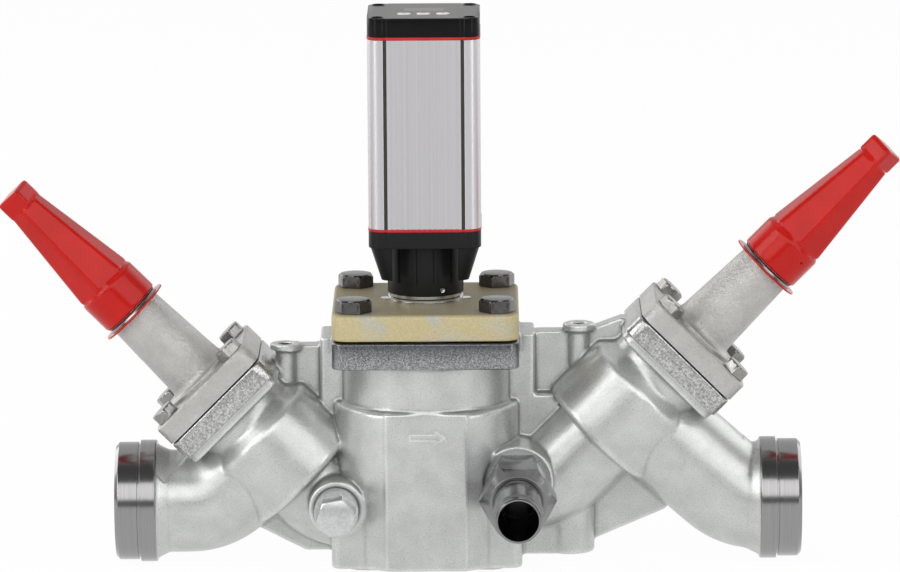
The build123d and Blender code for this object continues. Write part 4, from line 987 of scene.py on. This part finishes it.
def body_flanges():
    """The flange plates under the two bonnets and the control valve's cover."""
    sizes = (stop_flange_thickness, stop_flange_side, stop_flange_hole)
    for side, matrix in valve_frames.items():
        body_flange(side + "_body_flange", matrix, 0, *sizes, stop_flange_face)
    sizes = (control_flange_thickness, control_flange_side, control_flange_hole)
    body_flange("control_body_flange", upright, control_top, *sizes, flange_face)


def arrow_loop(inset):
    """Outline of the flow arrow, drawn inward by a distance."""
    tip = arrow_half_length - inset * arrow_tip_mitre
    barb = arrow_barb - inset * arrow_barb_mitre
    neck = arrow_neck + inset
    shaft = arrow_shaft_half - inset
    tail = -arrow_half_length + inset
    corners = [(tail, -shaft), (neck, -shaft), (neck, -barb), (tip, 0)]
    corners += [(neck, barb), (neck, shaft), (tail, shaft)]
    return [Vector(corner) for corner in corners]


def flow_arrow():
    """Raised outline of the flow arrow on the front pad, lighter than the casting as painted
    highlight.
    """
    matrix = axes_at((arrow_centre[0], pad_face_y, arrow_centre[1]), (0, -1, 0), (1, 0, 0))
    loops = [
        (arrow_loop(0), -arrow_sink),
        (arrow_loop(arrow_draft), arrow_rise),
        (arrow_loop(arrow_draft + arrow_line), arrow_rise),
        (arrow_loop(2 * arrow_draft + arrow_line), -arrow_sink),
    ]
    mesh = stack("flow_arrow", loops, matrix, cycle=True)
    link_piece("flow_arrow", mesh, arrow_highlight_casting, "station", "casting")


def bolt_set(name, material, matrix, face, depth, bolt):
    """Four hexagon head bolts with turned off corners, each turned its own way."""
    parts = []
    flats = bolt["flats"]
    for (x, y), turn in zip(corner_signs, bolt["turns"]):
        place = (x * bolt["spacing"] / 2, y * bolt["spacing"] / 2)
        sections = []
        for rise, limit in head_outline:
            loop = hex_loop(flats, flats * limit, radians(turn))
            sections.append((shifted(loop, *place), face + rise * bolt["height"]))
        parts.append(stack("head", sections, matrix))
        shank = shifted(round_loop(bolt["radius"]), *place)
        parts.append(column(shank, face - depth, face + shank_overlap, matrix))
    stand_in(name, joined(name, parts, 24), material)


def seal_cap(side):
    """Seal cap as a soft edged moulding, turned on its thread."""
    node = side + "_cap"
    axes = valve_frames[side]
    mesh = nodes[node].data.copy()
    mesh.transform(axes @ Matrix.Rotation(radians(cap_turns[side]), 4, "Z") @ axes.inverted())
    mesh = remeshed(mesh, cap_voxel)
    move_points(mesh, smoothed(*points_and_edges(mesh), cap_rounding_steps))
    stand_in(node, mesh, cap_red)


def stop_valve(side):
    """Bonnet, bolts, seal cap and the pieces under it."""
    dress(side + "_bonnet", neck_casting, 1.2 * MM, 3)
    dress(side + "_bonnet_gasket", fibre)
    dress(side + "_cap_disc", cap_red)
    dress(side + "_cap_gasket", washer_steel, 0.3 * MM)
    seal_cap(side)
    dress(side + "_spindle", stainless, 0.3 * MM)
    dress(side + "_gland_nut", bolt_steel, 0.3 * MM)
    place = (valve_frames[side], bonnet_face, bonnet_bolt_depth)
    bolt_set(side + "_bonnet_bolts", bonnet_bolt_steel, *place, bonnet_bolt)


def control_cover():
    """Thick plated cover with well rounded edges, the spigot under it and its bolts."""
    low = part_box("control_cover_gasket")[1].z
    spigot_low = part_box("control_cover")[0].z
    tube_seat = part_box("magnet_tube")[1].x
    outline = (control_flange_side, cover_corner_radius)
    heights_and_edges = (low, cover_top, cover_low_edge, cover_high_edge)
    plate = stack("plate", eased_square(*outline, *heights_and_edges, steps=6))
    spigot = column(round_loop(spigot_radius, 96), spigot_low, low + overlap)
    bores = [cutter(round_loop(tube_seat + tube_clearance, 96), spigot_low, cover_top)]
    hole = round_loop(cover_bolt["radius"] + bolt_clearance)
    for loop in at_corners(hole, cover_bolt["spacing"]):
        bores.append(cutter(loop, low, cover_top))
    mesh = combined(combined(plate, [spigot], "UNION"), bores, "DIFFERENCE")
    link_piece("control_cover_finish", mesh, cover_zinc, "station", "casting", ["control_cover"])
    depth = cover_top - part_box("control_cover_bolts")[0].z
    bolt_set("control_cover_bolts", bolt_steel, upright, cover_top, depth, cover_bolt)


def lock_ring():
    """Thin lugged ring under the bright collar that the actuator stands on."""
    low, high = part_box("lock_ring")
    rise = high.z - low.z
    plate = 0.3 * rise
    top = rise + neck_lift + ring_overlap
    outline = [
        (ring_bore, 0),
        (ring_outer, 0),
        (ring_outer, plate),
        (ring_collar - 1.0 * MM, 0.36 * rise),
        (ring_throat - 0.2 * MM, 0.5 * rise),
        (ring_collar, 0.6 * rise),
        (ring_collar, 0.9 * rise),
        (ring_throat, 1.1 * rise),
        (ring_throat, top),
        (ring_bore, top),
    ]
    matrix = upright_at(0, 0, low.z)
    parts = [lathe("ring", outline, matrix)]
    for way in (-1, 1):
        outer = slot_loop(2 * high.x, 2 * lug_half)
        loop = [Vector((way * max(spot.x, ring_outer - lug_root), spot.y)) for spot in outer]
        parts.append(column(loop, 0, plate, matrix))
    stand_in("lock_ring", joined("lock_ring", parts), bright_steel)


def set_screw_axes():
    """Axes of each set screw's hole, from the actuator's centre outward."""
    low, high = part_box("set_screws")
    for turn in set_screw_turns:
        yield axes_at((0, 0, (low.z + high.z) / 2), outward(turn, 0), (0, 0, 1))


def grooved_plate(name, *heights_and_edges):
    """The actuator's lid or band, with the profile's grooves carried on."""
    depth = cover_groove_depth
    sections = eased_square(actuator_side, profile_corner, *heights_and_edges, depth=depth)
    return stack(name, sections)


def corner_posts(low, high):
    """Four wedges that widen from the neck to the band, with a gap on each side."""
    foot = (rounded_square(post_foot_side, post_corner), low)
    head = (rounded_square(post_head_side, profile_corner), high + overlap)
    gap = post_gap / 2
    far = actuator_side
    wide = [Vector(spot) for spot in ((-far, -gap), (far, -gap), (far, gap), (-far, gap))]
    tall = [Vector((-spot.y, spot.x)) for spot in wide]
    cuts = [cutter(loop, low, high + overlap) for loop in (wide, tall)]
    return combined(stack("posts", [foot, head]), cuts, "DIFFERENCE")


def neck_ribs(low, high):
    """Upright ribs round the neck."""
    ribs = []
    inner = neck_radius - rib_root
    outer = neck_radius + rib_proud
    rib = [(inner, -rib_half), (outer, -rib_half), (outer, rib_half), (inner, rib_half)]
    for turn in range(rib_count):
        spoke = Matrix.Rotation(2 * pi * (turn + 0.5) / rib_count, 2)
        loop = [spoke @ Vector(spot) for spot in rib]
        ribs.append(column(loop, low - rib_drop, high + overlap))
    return ribs


def actuator_base():
    """Ribbed neck between four corner posts under a square band."""
    low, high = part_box("actuator_base")
    band_low = high.z - band_height
    post_low = band_low - post_height
    neck_sections = eased(
        lambda inset: round_loop(neck_radius - inset, 96),
        low.z + neck_lift,
        band_low + overlap,
        neck_edge,
        0,
    )
    neck = stack("neck", neck_sections)
    band = grooved_plate("band", band_low, high.z, band_low_edge, band_high_edge)
    parts = [corner_posts(post_low, band_low)] + neck_ribs(post_low, band_low) + [band]
    mesh = combined(neck, parts, "UNION")
    magnet_low, magnet_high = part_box("drive_magnet")
    hollow = round_loop(magnet_high.x + magnet_clearance, 64)
    cuts = [column(hollow, magnet_low.z - magnet_drop, high.z + overlap)]
    cuts.append(cutter(round_loop(tube_radius, 64), low.z, high.z))
    hole = round_loop(set_screw_radius + set_screw_clearance, 24)
    for matrix in set_screw_axes():
        cuts.append(column(hole, 0, neck_radius + overlap, matrix))
    piece = stand_in("actuator_base", combined(mesh, cuts, "DIFFERENCE"), base_plastic)
    rounded_edges(piece, 0.3 * MM)


def set_screws():
    """Cup point screws with a socket, just below the neck's skin."""
    reach = neck_radius - set_screw_sunk
    radius = set_screw_radius
    sections = [
        (round_loop(radius, 36), tube_radius),
        (round_loop(radius, 36), reach - set_screw_point),
        (round_loop(radius - set_screw_point, 36), reach),
        (hex_loop(1.25 * radius, radius, 0, 36), reach),
        (hex_loop(1.2 * radius, radius, 0, 36), reach - socket_depth),
    ]
    screws = [stack("screw", sections, matrix) for matrix in set_screw_axes()]
    stand_in("set_screws", joined("set_screws", screws), bright_steel)


def frame_gasket(name):
    """Red frame gasket that stands a little proud and is pinched at the grooves."""
    low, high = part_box(name)
    side = actuator_side + 2 * gasket_proud
    corner = profile_corner + gasket_proud
    loops = []
    for inset, rise in ((0.5 * MM, 0), (0, 0.3), (0, 0.7), (0.5 * MM, 1)):
        loop = rounded_square(side - 2 * inset, corner, cover_groove_depth + gasket_proud)
        loops.append((loop, low.z + (high.z - low.z) * rise))
    inner = [spot * (gasket_inner_side / actuator_side) for spot in loops[0][0]]
    mesh = stack(name, loops + [(inner, high.z), (inner, low.z)], cycle=True)
    stand_in(name, mesh, gasket_red)


def housing():
    """Extruded profile whose grooves take a dark material as painted shade."""
    piece = dress("actuator_housing", aluminium)
    piece.data.materials.append(groove_painted_shade)
    skin = actuator_side / 2
    for face in piece.data.polygons:
        for along, out in ((face.center.x, face.center.y), (face.center.y, face.center.x)):
            in_groove = abs(abs(along) - groove_centre) < groove_half + groove_margin
            if in_groove and skin - groove_to < abs(out) < skin - groove_from:
                face.material_index = 1


def window_loop(corner):
    """Outline of the display's window, its corners in shares of its sides."""
    low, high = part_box("display_window")
    x = (low.x + high.x) / 2
    y = (low.y + high.y) / 2
    unit = rounded_square(1, corner)
    return [Vector((x + spot.x * (high.x - low.x), y + spot.y * (high.y - low.y))) for spot in unit]


def key_loop(name, length, width):
    """Slot shaped loop round a button's middle."""
    low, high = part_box(name)
    return shifted(slot_loop(length, width), (low.x + high.x) / 2, (low.y + high.y) / 2)


def lid_cutters(top):
    """Cutters for the three keys' openings in the lid's top."""
    size = (button_length + button_gap, button_width + button_gap)
    loops = [key_loop(f"button_{number}", *size) for number in (1, 2, 3)]
    return [cutter(loop, top - lid_plate, top) for loop in loops]


def recess_rim(x, y, top):
    """Low raised rim round a cover screw's recess."""
    inner = recess_radius + rim_gap
    shoulder = inner + rim_crest
    outer = shoulder + rim_fall
    outline = [(outer, 0), (shoulder, rim_rise), (inner, rim_rise), (inner, 0)]
    half = cover_screw_spacing / 2
    name = f"recess_rim_{x + 1}{y + 1}"
    rim = lathe(name, outline, upright_at(x * half, y * half, top), 48)
    add_detail(name, rim, black_plastic, "top_cover")


def top_cover():
    """Lid with a crisp rim, sunk screws, a window and three buttons' openings."""
    low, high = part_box("top_cover")
    lid = grooved_plate("lid", low.z, high.z, lid_low_edge, lid_high_edge)
    hollow = rounded_square(lid_hollow_side, lid_hollow_corner)
    cuts = [column(hollow, low.z - overlap, high.z - lid_plate)]
    for loop in at_corners(round_loop(recess_radius, 32), cover_screw_spacing):
        cuts.append(column(loop, high.z - recess_depth, high.z + overlap))
    cuts.append(cutter(window_loop(window_corner), high.z - lid_plate, high.z))
    mesh = combined(lid, cuts + lid_cutters(high.z), "DIFFERENCE")
    rounded_edges(stand_in("top_cover", mesh, black_plastic), 0.25 * MM)
    for x, y in corner_signs:
        recess_rim(x, y, high.z)


def label_panel():
    """Paler panel on the lid, open over the buttons, and the display's sheet on it."""
    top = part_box("top_cover")[1].z
    unit = rounded_square(1, label_corner)
    loop = [Vector((spot.x * label_width, spot.y * label_length)) for spot in unit]
    panel = column(loop, top - label_sink, top + label_rise)
    mesh = combined(panel, lid_cutters(top), "DIFFERENCE")
    add_detail("label_panel", mesh, label_plastic, "top_cover")
    glass = column(window_loop(glass_corner), top, top + glass_rise)
    add_detail("display_glass", glass, display_strip, "top_cover", "display_window")


def button(number, outline):
    """White key with a small dark mark."""
    name = f"button_{number}"
    low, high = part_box(name)
    sections = eased(
        lambda inset: key_loop(name, button_length - 2 * inset, button_width - 2 * inset),
        high.z - button_head,
        high.z,
        0,
        button_edge,
    )
    flange = key_loop(name, high.x - low.x, high.y - low.y)
    stem = key_loop(name, button_length - stem_step, button_width - stem_step)
    parts = [stack(name, sections), column(flange, low.z, low.z + button_flange)]
    parts.append(column(stem, low.z, high.z - overlap))
    stand_in(name, joined(name, parts), button_white)
    middle = (low + high) / 2
    loop = shifted([Vector(spot) * MM for spot in outline], middle.x, middle.y)
    mark = column(loop, high.z - mark_sink, high.z + mark_rise)
    add_detail(f"button_mark_{number}", mark, button_mark, name)


# Body
cast_body()
weld_end("inlet_weld_ring", "inlet_port")
weld_end("outlet_weld_ring", "outlet_port")
body_flanges()
flow_arrow()

# Stop valves and control valve
for side in valve_frames:
    stop_valve(side)
control_cover()
dress("control_cover_gasket", washer_steel)
lock_ring()
dress("boss_plugs", bolt_steel, 0.2 * MM)

# Actuator
actuator_base()
housing()
frame_gasket("base_gasket")
frame_gasket("top_gasket")
top_cover()
label_panel()
set_screws()
dress("cover_screws", bolt_steel, 0.2 * MM)
dress("display_window", display_strip, 0.1 * MM)
button(1, [(x, -y) for x, y in mark_arrow])
button(2, mark_bar)
button(3, mark_arrow)
dress("cable_inlets", black_plastic, 0.3 * MM)

# Side ports
dress("side_plug", plug_steel, 0.4 * MM)
dress("side_plug_gasket", fibre)
dress("side_adaptor", nipple_steel, 0.3 * MM)
dress("side_gasket", fibre)
dress("side_union_nut", nipple_steel, 0.3 * MM)
dress("side_nipple", nipple_steel, 0.2 * MM)

# Inner nodes that keep their own meshes
inner_nodes = (
    (stainless, ("inlet_cone", "outlet_cone", "control_cone", "control_insert", "magnet_tube")),
    (fibre, ("inlet_packing", "outlet_packing", "insert_seal")),
    (pale_plastic, ("inlet_cone_seal", "outlet_cone_seal", "control_cone_seal")),
    (magnet_dark, ("control_rotor", "drive_magnet")),
    (black_plastic, ("stepper_motor", "button_switches")),
    (board_green, ("control_board",)),
    (display_strip, ("display_module",)),
)
for material, names in inner_nodes:
    for name in names:
        nodes[name].data.materials[0] = material


def mixed(share, one, other):
    """Two shaders mixed by a share."""
    mix = add_node(share.id_data, "MixShader")
    for place, output in enumerate((share, one, other)):
        link(output, mix, place)
    return mix.outputs["Shader"]


def bare_tree(owner):
    """The emptied node tree of a material or a world."""
    owner.use_nodes = True
    owner.node_tree.nodes.clear()
    return owner.node_tree


def floor_material():
    """White paper that glows for the camera and in mirrors, and is matt to the lamps."""
    material = bpy.data.materials.new("floor_white")
    tree = bare_tree(material)
    diffuse = add_node(tree, "BsdfDiffuse", {"Color": (*grey(floor_white), 1)})
    glow = add_node(tree, "Emission", {"Strength": 1.0})
    path = add_node(tree, "LightPath").outputs
    mirrored = either(path["Is Glossy Ray"], path["Is Transmission Ray"])
    share = add_node(tree, "Math", {1: floor_glow}, "MULTIPLY")
    link(either(path["Is Camera Ray"], mirrored), share, 0)
    surface = mixed(share.outputs[0], diffuse.outputs[0], glow.outputs[0])
    link(surface, add_node(tree, "OutputMaterial"), "Surface")
    return material


def stage():
    """Pale floor just under the object."""
    mesh = bpy.data.meshes.new("floor")
    level = cad_low.z - floor_gap
    corners = [(x * floor_half, y * floor_half, level) for x, y in corner_signs]
    mesh.from_pydata(corners, [], [(0, 1, 2, 3)])
    mesh.materials.append(floor_material())
    floor = new_object("floor", mesh)


def world_light():
    """White to the camera, a plain fill to matt surfaces, a dim front and a pale back to metal."""
    world = bpy.data.worlds.new("studio")
    bpy.context.scene.world = world
    tree = bare_tree(world)
    white = add_node(tree, "Background", {"Strength": 1.0})
    fill = add_node(tree, "Background", {"Strength": fill_strength})
    room = add_node(tree, "Background")
    depth = coordinate(tree, "Generated", "Y")
    link(spread(depth, room_front, room_back, room_front_at, room_back_at), room, "Strength")
    path = add_node(tree, "LightPath").outputs
    mirrors = mixed(path["Is Glossy Ray"], fill.outputs[0], room.outputs[0])
    direct = either(path["Is Camera Ray"], path["Is Transmission Ray"])
    surface = mixed(direct, mirrors, white.outputs[0])
    link(surface, add_node(tree, "OutputWorld"), "Surface")


def soft_lamp(name, azimuth, elevation, distance, width, height, radiance, in_metal=True):
    """Rectangular lamp that faces the object from a direction."""
    lamp = bpy.data.lights.new(name, "AREA")
    lamp.shape = "RECTANGLE"
    lamp.size = width
    lamp.size_y = height
    lamp.energy = radiance * width * height * pi
    lamp_object = new_object(name, lamp)
    back = outward(azimuth, elevation)
    lamp_object.location = Vector(camera_target) + back * distance
    lamp_object.rotation_mode = "QUATERNION"
    lamp_object.rotation_quaternion = back.to_track_quat("Z", "Y")
    lamp_object.visible_camera = False
    lamp_object.visible_glossy = in_metal


def soft_lamps():
    """A broad lamp in front, strips and cards at the sides, rim lamps behind and one above."""
    soft_lamp("front_lamp", 0, 27, distance=3.2, width=4.6, height=1.9, radiance=1.95)
    soft_lamp("left_strip", -64, 26, distance=3.4, width=1.9, height=2.2, radiance=3.2)
    soft_lamp("right_strip", 58, 26, distance=3.4, width=1.7, height=2.2, radiance=1.8)
    soft_lamp("left_rim", -130, 18, distance=3.4, width=2.6, height=2.6, radiance=1.6)
    soft_lamp("right_rim", 130, 18, distance=3.4, width=2.6, height=2.6, radiance=1.1)
    soft_lamp("left_card", -54, 5, distance=1.7, width=0.3, height=0.9, radiance=2.2)
    soft_lamp("right_card", 54, 5, distance=1.7, width=0.3, height=0.9, radiance=2.2)
    soft_lamp("top_lamp", 0, 88, distance=3.0, width=3.0, height=1.3, radiance=0.9, in_metal=False)


def place_camera():
    """The photograph's long lens, a little above the object."""
    azimuth = radians(camera_azimuth)
    roll = radians(camera_roll)
    back = outward(camera_azimuth, camera_elevation)
    right = Vector((cos(azimuth), sin(azimuth), 0))
    up = back.cross(right)
    camera_data = bpy.data.cameras.new("camera")
    camera_data.lens = camera_lens
    camera_data.sensor_width = sensor_width
    camera_data.clip_end = camera_clip
    camera = new_object("camera", camera_data)
    turned_right = right * cos(roll) + up * sin(roll)
    turned_up = up * cos(roll) - right * sin(roll)
    matrix = Matrix((turned_right, turned_up, back)).transposed().to_4x4()
    matrix.translation = Vector(camera_target) + back * camera_distance
    camera.matrix_world = matrix
    bpy.context.scene.camera = camera


stage()
world_light()
soft_lamps()
place_camera()

bpy.context.scene.view_settings.view_transform = "Standard"
